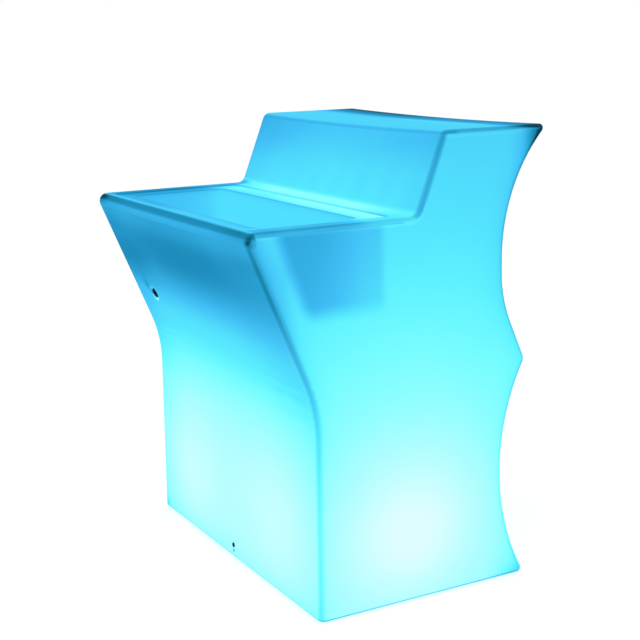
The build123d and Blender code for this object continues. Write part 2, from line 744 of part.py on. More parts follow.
for side_name, side, (x, y) in zip(("left", "right"), (-1, 1), lamp_places):
    with BuildPart() as lamp_tray:
        add(turned_sketch(x, y, (
            (0, plate_top),
            (lamp_radius, plate_top),
            (lamp_radius, tray_top),
            (lamp_land_radius, tray_top),
            (lamp_land_radius, land_top),
            (0, land_top),
        )))
        revolve(axis=upright(x, y))
        with BuildSketch(Plane.XY.offset(plate_top)):
            with Locations((x - side * pocket_middle, y)):
                Rectangle(lamp_pocket_end - lamp_pocket_start, lamp_pocket_width)
            with Locations((x - side * (pocket_middle + lamp_radius) / 2, y)):
                Rectangle(lamp_radius - pocket_middle, lamp_groove_width)
            with Locations(*screw_ring(x, y)):
                Circle(lamp_screw_radius + thread_play)
        extrude(amount=land_top - plate_top, mode=Mode.SUBTRACT)
    finish(lamp_tray, f"lamp_tray_{side_name}")

    with BuildPart() as lamp_board:
        with BuildSketch(Plane.XY.offset(land_top)):
            with Locations((x, y)):
                Circle(lamp_board_radius)
        extrude(amount=lamp_board_thickness)
    finish(lamp_board, f"lamp_board_{side_name}")

    with BuildPart() as lamp_chips:
        with BuildSketch(Plane.XY.offset(board_top)):
            with Locations((x, y)):
                Rectangle(led_size, led_size)
                for ring_radius, ring_count in zip(led_ring_radii, led_ring_counts):
                    with PolarLocations(ring_radius, ring_count):
                        Rectangle(led_size, led_size)
        extrude(amount=led_height)
    finish(lamp_chips, f"lamp_chips_{side_name}")

    with BuildPart() as lamp_socket:
        with BuildSketch(Plane.XY.offset(plate_top)):
            with Locations((x - side * pocket_middle, y)):
                Rectangle(lamp_pocket_end - lamp_pocket_start - 2 * fit_play, socket_width)
        extrude(amount=land_top - plate_top)
    finish(lamp_socket, f"lamp_socket_{side_name}")

    with BuildPart() as lamp_dome:
        with BuildSketch(Plane((x, y, 0), x_dir=(1, 0, 0), z_dir=(0, -1, 0))):
            with BuildLine():
                dome_arc(dome_radius, dome_height)
                Line((0, dome_seat + dome_height), (0, dome_seat + dome_height - dome_wall))
                dome_arc(dome_radius - dome_wall, dome_height - dome_wall)
                Polyline(
                    (dome_radius - dome_wall, dome_seat),
                    (dome_radius - dome_wall, tray_top),
                    (lamp_radius, tray_top),
                    (lamp_radius, dome_seat),
                    (dome_radius, dome_seat),
                )
            make_face()
        revolve(axis=upright(x, y))
        with BuildSketch(Plane.XY.offset(tray_top)):
            with Locations(*screw_ring(x, y)):
                Circle(lamp_screw_radius + thread_play)
        extrude(amount=dome_flange_thickness, mode=Mode.SUBTRACT)
    finish(lamp_dome, f"lamp_dome_{side_name}")

with BuildPart() as lamp_screws:
    with BuildSketch(Plane.XY.offset(dome_seat)):
        with Locations(*lamp_screw_places):
            Circle(lamp_screw_head_radius)
    extrude(amount=lamp_screw_head_height)
    with BuildSketch(Plane.XY.offset(plate_z)):
        with Locations(*lamp_screw_places):
            Circle(lamp_screw_radius)
    extrude(amount=dome_seat - plate_z)
finish(lamp_screws, "lamp_screws")

# Charging jack in the staff face, with its centre contact and its nut
with BuildPart() as charging_jack:
    with BuildSketch(jack_plane.offset(-jack_flange_thickness)):
        with Locations((0, -jack_height)):
            Circle(jack_flange_radius)
    extrude(amount=jack_flange_thickness)
    fillet(charging_jack.edges().sort_by(Axis.Y)[0], jack_flange_thickness / 3)
    with BuildSketch(jack_plane):
        with Locations((0, -jack_height)):
            Circle(jack_body_radius)
    extrude(amount=jack_body_length)
    with BuildSketch(jack_plane.offset(-jack_flange_thickness)):
        with Locations((0, -jack_height)):
            Circle(jack_bore_radius)
    extrude(amount=jack_bore_depth, mode=Mode.SUBTRACT)
finish(charging_jack, "charging_jack")

with BuildPart() as jack_contact:
    with BuildSketch(jack_plane.offset(jack_bore_depth - jack_flange_thickness - jack_pin_length)):
        with Locations((0, -jack_height)):
            Circle(jack_pin_radius)
    extrude(amount=jack_pin_length)
finish(jack_contact, "jack_contact")

with BuildPart() as jack_nut:
    with BuildSketch(jack_plane.offset(wall)):
        with Locations((0, -jack_height)):
            RegularPolygon(jack_nut_radius, 6)
            Circle(jack_body_radius + thread_play, mode=Mode.SUBTRACT)
    extrude(amount=jack_nut_thickness)
finish(jack_nut, "jack_nut")

# Power button under the jack, in its own small housing
with BuildPart() as button_housing:
    with BuildSketch(button_plane.offset(-button_bezel_thickness)):
        with Locations((0, -button_height)):
            Circle(button_bezel_radius)
    extrude(amount=button_bezel_thickness)
    with BuildSketch(button_plane):
        with Locations((0, -button_height)):
            Circle(button_body_radius)
    extrude(amount=button_body_length)
    with BuildSketch(button_plane.offset(-button_bezel_thickness)):
        with Locations((0, -button_height)):
            Circle(button_radius + thread_play)
    extrude(amount=button_bezel_thickness + button_depth + button_travel + fit_play, mode=Mode.SUBTRACT)
finish(button_housing, "button_housing")

with BuildPart() as power_button:
    with BuildSketch(button_plane.offset(-button_bezel_thickness - button_stand)):
        with Locations((0, -button_height)):
            Circle(button_radius)
    extrude(amount=button_bezel_thickness + button_stand + button_depth)
    fillet(power_button.edges().sort_by(Axis.Y)[0], button_radius / 4)
finish(power_button, "power_button")

with BuildPart() as button_nut:
    with BuildSketch(button_plane.offset(wall)):
        with Locations((0, -button_height)):
            RegularPolygon(button_nut_radius, 6)
            Circle(button_body_radius + thread_play, mode=Mode.SUBTRACT)
    extrude(amount=button_nut_thickness)
finish(button_nut, "button_nut")

# Control box: an open tray with corner posts, pillars under the board and slots for the sockets
box_staff = box_y - box_depth / 2
box_guest = box_y + box_depth / 2
box_floor = plate_top + box_wall
box_top = plate_top + box_height
control_board_bottom = box_floor + board_lift
control_board_top = control_board_bottom + board_thickness
lead_level = control_board_top + socket_height / 2
post_x = box_length / 2 - box_post_inset
post_y = box_depth / 2 - box_post_inset
post_places = [(sx * post_x, box_y + sy * post_y) for sx in (-1, 1) for sy in (-1, 1)]
pillar_places = [(sx * post_x / 2, box_y + sy * post_y / 2) for sx in (-1, 1) for sy in (-1, 1)]
socket_middle = (socket_stand - socket_reach) / 2
socket_depth = socket_stand + socket_reach
side_sockets = [(side * (box_length / 2 + socket_middle), side_socket_y) for side in (-1, 1)]
front_sockets = [(x, box_staff - socket_middle) for x in (port_x, button_socket_x)]
back_sockets = [(0, box_guest + socket_middle)]

with BuildPart() as control_box:
    add(plan_sketch(plate_top, box_length, box_staff, box_guest, box_corner))
    extrude(amount=box_height)
    add(plan_sketch(box_floor, box_length, box_staff, box_guest, box_corner, -box_wall))
    extrude(amount=box_height, mode=Mode.SUBTRACT)
    with BuildSketch(Plane.XY.offset(box_floor)):
        with Locations(*post_places):
            Circle(box_post_radius)
    extrude(amount=box_top - box_floor)
    with BuildSketch(Plane.XY.offset(box_floor)):
        with Locations(*pillar_places):
            Circle(pillar_radius)
    extrude(amount=board_lift)
    with BuildSketch(Plane.XY.offset(box_top - small_screw_length)):
        with Locations(*post_places):
            Circle(small_screw_radius + thread_play)
    extrude(amount=small_screw_length, mode=Mode.SUBTRACT)
    with BuildSketch(Plane.XY.offset(control_board_top)):
        with Locations(*side_sockets):
            Rectangle(socket_depth, socket_width + 2 * thread_play)
        with Locations(*front_sockets, *back_sockets):
            Rectangle(socket_width + 2 * thread_play, socket_depth)
    extrude(amount=box_top - control_board_top, mode=Mode.SUBTRACT)
    with BuildSketch(Plane.XY.offset(plate_top)):
        with Locations(*box_screws):
            Rectangle(box_ear_length, box_ear_depth)
            Circle(small_screw_radius + thread_play, mode=Mode.SUBTRACT)
    extrude(amount=box_ear_thickness)
finish(control_box, "control_box")

with BuildPart() as control_sockets:
    with BuildSketch(Plane.XY.offset(control_board_top)):
        with Locations(*side_sockets):
            Rectangle(socket_depth, socket_width)
        with Locations(*front_sockets, *back_sockets):
            Rectangle(socket_width, socket_depth)
    extrude(amount=socket_height)
finish(control_sockets, "control_sockets")

# Control board, with notches round the posts and its larger components
board_length = box_length - 2 * (box_wall + board_play)
board_depth = box_depth - 2 * (box_wall + board_play)


def on_board(share):
    """A place on the control board, from its shares of the board's length and depth."""
    return (share[0] * board_length, box_y + share[1] * board_depth)


with BuildPart() as control_board:
    with BuildSketch(Plane.XY.offset(control_board_bottom)):
        with Locations((0, box_y)):
            Rectangle(board_length, board_depth)
            with GridLocations(board_length, board_depth, 2, 2):
                Rectangle(2 * board_notch, 2 * board_notch, mode=Mode.SUBTRACT)
    extrude(amount=board_thickness)
    with BuildSketch(Plane.XY.offset(control_board_top)):
        with Locations(*[on_board(share) for share in chip_shares]):
            Rectangle(chip_length, chip_depth)
    extrude(amount=chip_height)
    with BuildSketch(Plane.XY.offset(control_board_top)):
        with Locations(on_board(coil_share)):
            Circle(coil_radius)
    extrude(amount=coil_height)
    with BuildSketch(Plane.XY.offset(control_board_top)):
        with Locations(on_board(capacitor_share)):
            Circle(capacitor_radius)
    extrude(amount=capacitor_height)
finish(control_board, "control_board")

# Remote receiver: a small board standing on its pin strip
receiver_bottom = control_board_top + receiver_lift
with BuildPart() as remote_receiver:
    with BuildSketch(Plane.XY.offset(control_board_top)):
        with Locations(on_board(receiver_share)):
            Rectangle(receiver_length, pin_strip_depth)
    extrude(amount=receiver_lift)
    with BuildSketch(Plane.XY.offset(receiver_bottom)):
        with Locations(on_board(receiver_share)):
            Rectangle(receiver_length, receiver_depth)
    extrude(amount=receiver_thickness)
finish(remote_receiver, "remote_receiver")

with BuildPart() as control_lid:
    add(plan_sketch(box_top, box_length, box_staff, box_guest, box_corner))
    extrude(amount=box_lid_thickness)
    with BuildSketch(Plane.XY.offset(box_top)):
        with Locations(*post_places):
            Circle(small_screw_radius + thread_play)
    extrude(amount=box_lid_thickness, mode=Mode.SUBTRACT)
finish(control_lid, "control_lid")

with BuildPart() as control_lid_screws:
    lid_top = box_top + box_lid_thickness
    with BuildSketch(Plane.XY.offset(lid_top)):
        with Locations(*post_places):
            Circle(small_screw_head_radius)
    extrude(amount=small_screw_head_height)
    with BuildSketch(Plane.XY.offset(lid_top - small_screw_length)):
        with Locations(*post_places):
            Circle(small_screw_radius)
    extrude(amount=small_screw_length)
finish(control_lid_screws, "control_lid_screws")

# Battery: cells in a sleeve with end plates, lying in a cradle under a strap
cradle_top = plate_top + cradle_thickness
sleeve_middle = cradle_top + sleeve_height / 2
cell_pitch = 2 * cell_radius + cell_gap
sleeve_length = cell_length + 2 * end_plate_thickness
strap_inside = cradle_width / 2 + cell_gap
strap_level = cradle_top + sleeve_height + cell_gap


def battery_plane(place):
    """A plane across the battery, facing the guests."""
    return Plane((0, battery_y + place, sleeve_middle), x_dir=(1, 0, 0), z_dir=(0, 1, 0))


with BuildPart() as battery_cells:
    with BuildSketch(battery_plane(-cell_length / 2)):
        with GridLocations(cell_pitch, cell_pitch, cell_columns, cell_rows):
            Circle(cell_radius)
    extrude(amount=cell_length)
finish(battery_cells, "battery_cells")

with BuildPart() as battery_end_plates:
    for place in (-cell_length / 2 - end_plate_thickness, cell_length / 2):
        with BuildSketch(battery_plane(place)):
            RectangleRounded(pack_width, pack_height, cell_radius)
        extrude(amount=end_plate_thickness)
finish(battery_end_plates, "battery_end_plates")

with BuildPart() as battery_sleeve:
    with BuildSketch(battery_plane(-sleeve_length / 2)):
        RectangleRounded(sleeve_width, sleeve_height, cell_radius + sleeve_thickness)
        RectangleRounded(sleeve_width - 2 * sleeve_thickness, sleeve_height - 2 * sleeve_thickness,
                         cell_radius, mode=Mode.SUBTRACT)
    extrude(amount=sleeve_length)
finish(battery_sleeve, "battery_sleeve")

with BuildPart() as battery_cradle:
    with BuildSketch(Plane.XY.offset(plate_top)):
        with Locations((0, battery_y)):
            Rectangle(cradle_width + 2 * cradle_ear_length, cell_length)
        with Locations(*strap_screws):
            Circle(small_screw_radius + thread_play, mode=Mode.SUBTRACT)
    extrude(amount=cradle_thickness)
    with BuildSketch(Plane.XY.offset(cradle_top)):
        with Locations((0, battery_y)):
            with GridLocations(cradle_width - cradle_thickness, 0, 2, 1):
                Rectangle(cradle_thickness, cell_length)
    extrude(amount=cradle_wall_height)
finish(battery_cradle, "battery_cradle")

with BuildPart() as battery_strap:
    strap_foot = cradle_width / 2 + cradle_ear_length
    with BuildSketch(Plane.XZ.offset(-battery_y - strap_width / 2)):
        with BuildLine():
            Polyline(
                (-strap_foot, cradle_top),
                (-strap_inside, cradle_top),
                (-strap_inside, strap_level),
                (strap_inside, strap_level),
                (strap_inside, cradle_top),
                (strap_foot, cradle_top),
                (strap_foot, cradle_top + strap_thickness),
                (strap_inside + strap_thickness, cradle_top + strap_thickness),
                (strap_inside + strap_thickness, strap_level + strap_thickness),
                (-strap_inside - strap_thickness, strap_level + strap_thickness),
                (-strap_inside - strap_thickness, cradle_top + strap_thickness),
                (-strap_foot, cradle_top + strap_thickness),
                close=True,
            )
        make_face()
    extrude(amount=strap_width)
    with BuildSketch(Plane.XY.offset(cradle_top)):
        with Locations(*strap_screws):
            Circle(small_screw_radius + thread_play)
    extrude(amount=strap_thickness, mode=Mode.SUBTRACT)
finish(battery_strap, "battery_strap")

with BuildPart() as fixing_screws:
    for places, top in (
        (box_screws, plate_top + box_ear_thickness),
        (strap_screws, cradle_top + strap_thickness),
    ):
        with BuildSketch(Plane.XY.offset(top)):
            with Locations(*places):
                Circle(small_screw_head_radius)
        extrude(amount=small_screw_head_height)
        with BuildSketch(Plane.XY.offset(plate_z)):
            with Locations(*places):
                Circle(small_screw_radius)
        extrude(amount=top - plate_z)
finish(fixing_screws, "fixing_screws")

# Leads between the sockets: straight at both ends, with one easy bend each way
groove_level = plate_top + lamp_tray_thickness / 2
jack_back = jack_plane.origin.Y + jack_body_length
button_back = button_plane.origin.Y + button_body_length
front_socket_face = box_staff - socket_stand
back_socket_face = box_guest + socket_stand
side_socket_face = box_length / 2 + socket_stand
battery_front = battery_y - sleeve_length / 2
lamp_socket_face = lamp_x - lamp_pocket_end + fit_play
lamp_edge = lamp_x - lamp_radius


def straight_ends(start, end):
    """A lead's points along Y, with a straight stretch at each end."""
    ease = lead_ease_share * (end[1] - start[1])
    return (start, (start[0], start[1] + ease, start[2]), (end[0], end[1] - ease, end[2]), end)


lead_routes = {
    "jack_lead": straight_ends(
        (port_x, jack_back, jack_height), (port_x, front_socket_face, lead_level)),
    "button_lead": straight_ends(
        (port_x, button_back, button_height), (button_socket_x, front_socket_face, lead_level)),
    "battery_lead": straight_ends(
        (0, back_socket_face, lead_level), (cell_pitch / 2, battery_front, sleeve_middle - cell_pitch / 2)),
}
for side_name, side in (("left", -1), ("right", 1)):
    ease = lead_ease_share * (lamp_edge - side_socket_face)
    lead_routes[f"lamp_lead_{side_name}"] = (
        (side * side_socket_face, side_socket_y, lead_level),
        (side * (side_socket_face + ease), side_socket_y, lead_level),
        (side * (lamp_edge - ease), lamp_y, groove_level),
        (side * lamp_socket_face, lamp_y, groove_level),
    )

for lead_name, points in lead_routes.items():
    corners = [Vector(*point) for point in points]
    runs = [b - a for a, b in zip(corners, corners[1:])]
    radii = []
    for before, after in zip(runs, runs[1:]):
        half_turn = radians(before.get_angle(after)) / 2
        radii.append(lead_bend_share * min(before.length, after.length) / tan(half_turn))
    print(lead_name, "bend radii", [round(radius, 1) for radius in radii])
    with BuildPart() as lead:
        with BuildLine() as route:
            FilletPolyline(*points, radius=radii)
        with BuildSketch(Plane(points[0], z_dir=runs[0])):
            Circle(lead_radius)
        sweep(path=route.wires()[0])
    finish(lead, lead_name)
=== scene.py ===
import bpy
import json
import math
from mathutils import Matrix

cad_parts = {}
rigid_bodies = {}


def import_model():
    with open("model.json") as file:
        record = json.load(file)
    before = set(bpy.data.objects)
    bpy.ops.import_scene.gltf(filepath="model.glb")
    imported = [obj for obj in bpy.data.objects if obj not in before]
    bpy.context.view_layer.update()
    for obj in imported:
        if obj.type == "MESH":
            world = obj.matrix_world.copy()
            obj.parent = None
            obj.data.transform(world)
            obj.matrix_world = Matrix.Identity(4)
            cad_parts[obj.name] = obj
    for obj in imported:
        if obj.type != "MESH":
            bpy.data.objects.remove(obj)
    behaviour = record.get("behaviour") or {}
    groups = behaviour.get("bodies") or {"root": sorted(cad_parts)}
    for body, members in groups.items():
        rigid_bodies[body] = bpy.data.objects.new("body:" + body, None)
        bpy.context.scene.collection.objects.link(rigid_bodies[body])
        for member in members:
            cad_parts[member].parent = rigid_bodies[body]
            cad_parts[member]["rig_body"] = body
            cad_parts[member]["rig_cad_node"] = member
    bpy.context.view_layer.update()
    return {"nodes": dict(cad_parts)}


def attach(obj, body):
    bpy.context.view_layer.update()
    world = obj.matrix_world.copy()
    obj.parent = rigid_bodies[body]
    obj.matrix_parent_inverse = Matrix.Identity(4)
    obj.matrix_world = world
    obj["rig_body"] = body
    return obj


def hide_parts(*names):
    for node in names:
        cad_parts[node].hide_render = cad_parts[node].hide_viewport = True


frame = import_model()
nodes = frame["nodes"]
print("counter: frame loaded,", len(nodes), "nodes")


# helpers for building materials out of nodes
def newMaterial(name):
    material = bpy.data.materials.new(name)
    material.use_nodes = True
    tree = material.node_tree
    return material, tree, tree.nodes["Principled BSDF"]


def feed(tree, socket, value):
    # a number or colour is set on the socket, anything else is linked to it
    if isinstance(value, bpy.types.NodeSocket):
        tree.links.new(value, socket)
    else:
        socket.default_value = value


def calc(tree, operation, *values):
    node = tree.nodes.new("ShaderNodeMath")
    node.operation = operation
    for socket, value in zip(node.inputs, values):
        feed(tree, socket, value)
    return node.outputs[0]


def vectorCalc(tree, operation, *values):
    node = tree.nodes.new("ShaderNodeVectorMath")
    node.operation = operation
    for socket, value in zip(node.inputs, values):
        feed(tree, socket, value)
    return node.outputs["Value"] if operation in ("LENGTH", "DOT_PRODUCT") else node.outputs["Vector"]


def softStep(tree, value, start, end, low=0.0, high=1.0):
    # Map Range wants its start below its end
    if start > end:
        start, end, low, high = end, start, high, low
    node = tree.nodes.new("ShaderNodeMapRange")
    node.interpolation_type = "SMOOTHSTEP"
    for socket, given in zip(node.inputs, (value, start, end, low, high)):
        feed(tree, socket, given)
    return node.outputs[0]


def stepsFrom(tree, settings):
    # a soft step by its name: start and end, and the levels there unless they are 0 and 1
    return lambda value, name: softStep(tree, value, *settings[name])


def between(tree, low, high, share):
    return calc(tree, "MULTIPLY_ADD", calc(tree, "SUBTRACT", high, low), share, low)


def product(tree, first, *others):
    for other in others:
        first = calc(tree, "MULTIPLY", first, other)
    return first


def total(tree, first, *others):
    for other in others:
        first = calc(tree, "ADD", first, other)
    return first


def darker(tree, level, amount, *masks):
    # the amount is taken away where all the masks are 1
    return calc(tree, "MULTIPLY_ADD", product(tree, *masks), -amount, level)


def fadeAway(tree, distance, depth):
    return calc(tree, "EXPONENT", calc(tree, "DIVIDE", distance, -depth))


def mixOf(tree, first, firstShare, second, secondShare):
    return calc(tree, "MULTIPLY_ADD", first, firstShare, calc(tree, "MULTIPLY", second, secondShare))


def radiusOf(tree, across, along):
    squares = calc(tree, "ADD", calc(tree, "MULTIPLY", across, across), calc(tree, "MULTIPLY", along, along))
    return calc(tree, "SQRT", squares)


def lineThrough(tree, value, points):
    # a smooth line through points, given as places and heights
    start, end = points[0][0], points[-1][0]
    share = calc(tree, "MULTIPLY_ADD", value, 1 / (end - start), -start / (end - start))
    node = tree.nodes.new("ShaderNodeFloatCurve")
    curve = node.mapping.curves[0]
    lowest = min(0.0, min(height for _, height in points))  # the curve itself stays above zero
    spots = [((place - start) / (end - start), height - lowest) for place, height in points]
    curve.points[0].location, curve.points[-1].location = spots[0], spots[-1]
    for spot in spots[1:-1]:
        curve.points.new(*spot)
    node.mapping.update()
    tree.links.new(share, node.inputs["Value"])
    return calc(tree, "ADD", node.outputs["Value"], lowest)


def objectPlace(tree, stretch=(1, 1, 1), middle=(0, 0, 0)):
    coordinates = tree.nodes.new("ShaderNodeTexCoord")
    mapping = tree.nodes.new("ShaderNodeMapping")
    mapping.inputs["Scale"].default_value = stretch
    mapping.inputs["Location"].default_value = [-m * s for m, s in zip(middle, stretch)]
    tree.links.new(coordinates.outputs["Object"], mapping.inputs["Vector"])
    return mapping.outputs["Vector"]


def splitUp(tree, vector):
    node = tree.nodes.new("ShaderNodeSeparateXYZ")
    tree.links.new(vector, node.inputs[0])
    return node.outputs[0], node.outputs[1], node.outputs[2]


def noise(tree, place, scale, detail=2.0, roughness=0.5):
    node = tree.nodes.new("ShaderNodeTexNoise")
    tree.links.new(place, node.inputs["Vector"])
    node.inputs["Scale"].default_value = scale
    node.inputs["Detail"].default_value = detail
    node.inputs["Roughness"].default_value = roughness
    return node.outputs["Fac"]


def colourRamp(tree, value, places, colours):
    node = tree.nodes.new("ShaderNodeValToRGB")
    ramp = node.color_ramp
    ramp.elements[0].position, ramp.elements[1].position = places[0], places[-1]
    for place in places[1:-1]:
        ramp.elements.new(place)
    for element, colour in zip(ramp.elements, colours):
        element.color = (*colour, 1)
    tree.links.new(value, node.inputs["Fac"])
    return node.outputs["Color"]


def give(shader, values):
    for name, value in values.items():
        shader.inputs[name].default_value = value


def paint(tree, shader, tone, places, colours, socket="Base Color"):
    tree.links.new(colourRamp(tree, tone, places, colours), shader.inputs[socket])


def roughen(tree, shader, tone, places, rough):
    tree.links.new(softStep(tree, tone, *places, *rough), shader.inputs["Roughness"])


def bump(tree, shader, height, distance, strength):
    node = tree.nodes.new("ShaderNodeBump")
    node.inputs["Distance"].default_value = distance
    node.inputs["Strength"].default_value = strength
    tree.links.new(height, node.inputs["Height"])
    tree.links.new(node.outputs["Normal"], shader.inputs["Normal"])


def linear(red, green, blue):
    # from the 0 to 255 numbers of a picture to Blender's own
    return tuple((c / 255 / 12.92) if c <= 10 else ((c / 255 + 0.055) / 1.055) ** 2.4 for c in (red, green, blue))


def deselectAll():
    if bpy.context.object and bpy.context.object.mode != "OBJECT":
        bpy.ops.object.mode_set(mode="OBJECT")
    bpy.ops.object.select_all(action="DESELECT")


def pickOnly(piece):
    deselectAll()
    piece.select_set(True)
    bpy.context.view_layer.objects.active = piece


# the camera stands where the photograph was taken from
cameraSettings = {
    "place": (2.99288, -1.62957, 1.37887),
    "turn": (77.5217, 1.0787, 60.7723),
    "lens": 73.3227,
    "sensor": 36,
    "farthest": 200,
}
deselectAll()
bpy.ops.object.camera_add(
    location=cameraSettings["place"],
    rotation=[math.radians(angle) for angle in cameraSettings["turn"]],
)
camera = bpy.context.object
camera.name = "photoCamera"
camera.data.lens = cameraSettings["lens"]
camera.data.sensor_width = cameraSettings["sensor"]
camera.data.clip_end = cameraSettings["farthest"]
bpy.context.scene.camera = camera
bpy.context.scene.view_settings.view_transform = "Standard"
print("counter: camera placed")


# floor, backdrop and soft lights
studioSettings = {
    "floorSize": 120.0,
    "floorColour": (0.80, 0.81, 0.81),
    "floorRough": 0.9,
    "floorLift": 0.56,          # white added for the camera alone, the shadow stays
    "worldStrength": 0.55,
    "aimDrop": 0.6,             # how far below itself a light aims, seen from the middle
    "keyPlace": (2.2, -3.4, 3.6),
    "keySize": 2.6,
    "keyPower": 45.0,
    "fillPlace": (-3.2, 2.2, 2.6),
    "fillSize": 3.0,
    "fillPower": 24.0,
}


def seenShare(tree):
    # 1 for what the camera, a mirror or glass looks at
    path = tree.nodes.new("ShaderNodeLightPath")
    seen = calc(tree, "MAXIMUM", path.outputs["Is Camera Ray"], path.outputs["Is Glossy Ray"])
    return calc(tree, "MAXIMUM", seen, path.outputs["Is Transmission Ray"])


def makeStudio(settings):
    deselectAll()
    bpy.ops.mesh.primitive_plane_add(size=settings["floorSize"], location=(0, 0, 0))
    floor = bpy.context.object
    floor.name = "studioFloor"
    material, tree, shader = newMaterial("paleFloor")
    give(shader, {"Base Color": (*settings["floorColour"], 1), "Roughness": settings["floorRough"],
                  "Specular IOR Level": 0.0, "Emission Color": (1, 1, 1, 1)})
    lift = calc(tree, "MULTIPLY", seenShare(tree), settings["floorLift"])
    tree.links.new(lift, shader.inputs["Emission Strength"])
    floor.data.materials.append(material)
    world = bpy.context.scene.world or bpy.data.worlds.new("studioWorld")
    bpy.context.scene.world = world
    world.use_nodes = True
    tree = world.node_tree
    background = tree.nodes["Background"]
    background.inputs["Color"].default_value = (1, 1, 1, 1)
    share = calc(tree, "MULTIPLY_ADD", seenShare(tree), 1 - settings["worldStrength"], settings["worldStrength"])
    tree.links.new(share, background.inputs["Strength"])
    for name in ("key", "fill"):
        deselectAll()
        bpy.ops.object.light_add(type="AREA", location=settings[name + "Place"])
        light = bpy.context.object
        light.name = name + "Light"
        light.data.size = settings[name + "Size"]
        light.data.energy = settings[name + "Power"]
        aim = light.location.copy()
        aim.z -= settings["aimDrop"]
        light.rotation_euler = aim.to_track_quat("Z", "Y").to_euler()


makeStudio(studioSettings)
print("counter: floor and lights made")


# the glow: how light from two places low inside comes through the milky walls
glowSettings = {
    "lampX": 0.278,
    "lampY": 0.007,
    "lampZ": 0.141,
    "facing": 0.433,            # how fast it weakens on walls that turn away
    "guestLeast": (0.05, 0.4, 0.001, 0.12),     # scattered light reaches the hollows of the guests' side
    "guestBlend": (0.05, 0.4, 0.001, 0.15),
    "falloff": 1.046,
    "upward": 0.392,
    "upwardHalf": 0.5,
    "dimmest": 0.001,
    "floorGlow": 0.85,
    "floorGlowHeight": 0.23,
    "base": 0.060,
    "gain": 0.499,
    "clouds": (9.0, 3.0),       # noise: scale and detail
    "tubClouds": (12.0, 3.0),
    "cloudiness": 0.02,
    "toneStart": -0.15,
    "tone": (
        (-0.15, (4, 50, 72)),
        (-0.07, (17, 92, 118)),
        (0.0, (31, 135, 171)),
        (0.081, (35, 145, 192)),
        (0.281, (58, 180, 232)),
        (0.362, (69, 195, 246)),
        (0.516, (89, 234, 255)),
        (0.572, (101, 245, 255)),
        (0.64, (119, 253, 255)),
        (0.731, (145, 255, 255)),
        (0.827, (173, 254, 255)),
        (0.9, (194, 255, 255)),
        (1.0, (223, 254, 255)),
    ),
    "plastic": (0.006, 0.05, 0.07),
    "plasticShare": 0.8,        # of the studio light that the plastic itself sends back
    "rough": 0.42,
    "sheen": 0.02,
    "sheenRough": 0.35,
    "sheenBack": (0.004, 0.0, -0.012),
    "grain": (420.0, 2.0),
    "tubGrain": (380.0, 2.0),
    "grainDepth": 0.0002,
    "grainStrength": 0.25,
    "tubGrainStrength": 0.3,
}


def lampLight(tree, place, normal, glow, side):
    step = stepsFrom(tree, glow)
    lamp = (side * glow["lampX"], glow["lampY"], glow["lampZ"])
    way = vectorCalc(tree, "SUBTRACT", place, lamp)
    distance = vectorCalc(tree, "LENGTH", way)
    ray = vectorCalc(tree, "NORMALIZE", way)
    _, normalY, _ = splitUp(tree, normal)
    facing = calc(tree, "SMOOTH_MAX", vectorCalc(tree, "DOT_PRODUCT", normal, ray),
                  step(normalY, "guestLeast"), step(normalY, "guestBlend"))
    upward = vectorCalc(tree, "DOT_PRODUCT", ray, (0, 0, glow["upwardHalf"]))
    upward = calc(tree, "MAXIMUM", calc(tree, "ADD", upward, glow["upwardHalf"]), glow["dimmest"])
    light = calc(tree, "MULTIPLY", calc(tree, "POWER", facing, glow["facing"]),
                 calc(tree, "POWER", upward, glow["upward"]))
    return calc(tree, "DIVIDE", light, calc(tree, "POWER", distance, glow["falloff"]))


def finishGlow(tree, shader, level, glow, greyInShade=None, tint=None):
    # the lamps' colour on top of what the plastic itself sends back of the studio light
    sent = [c * glow["plasticShare"] + back for c, back in zip(glow["plastic"], glow["sheenBack"])]
    start = glow["toneStart"]
    places = [(at - start) / (1 - start) for at, _ in glow["tone"]]
    colours = [[max(0.0, a - b) for a, b in zip(linear(*colour), sent)] for _, colour in glow["tone"]]
    share = calc(tree, "MULTIPLY_ADD", level, 1 / (1 - start), -start / (1 - start))
    colour = colourRamp(tree, share, places, colours)
    if greyInShade is not None:
        mix = tree.nodes.new("ShaderNodeMix")
        mix.data_type, mix.blend_type = "RGBA", "MULTIPLY"
        tree.links.new(greyInShade, mix.inputs[0])
        tree.links.new(colour, mix.inputs[6])
        mix.inputs[7].default_value = (*tint, 1)
        colour = mix.outputs[2]
    tree.links.new(colour, shader.inputs["Emission Color"])
    give(shader, {"Base Color": (*glow["plastic"], 1), "Emission Strength": 1.0, "Roughness": glow["rough"],
                  "Specular IOR Level": 0.0, "Coat Weight": glow["sheen"], "Coat Roughness": glow["sheenRough"]})


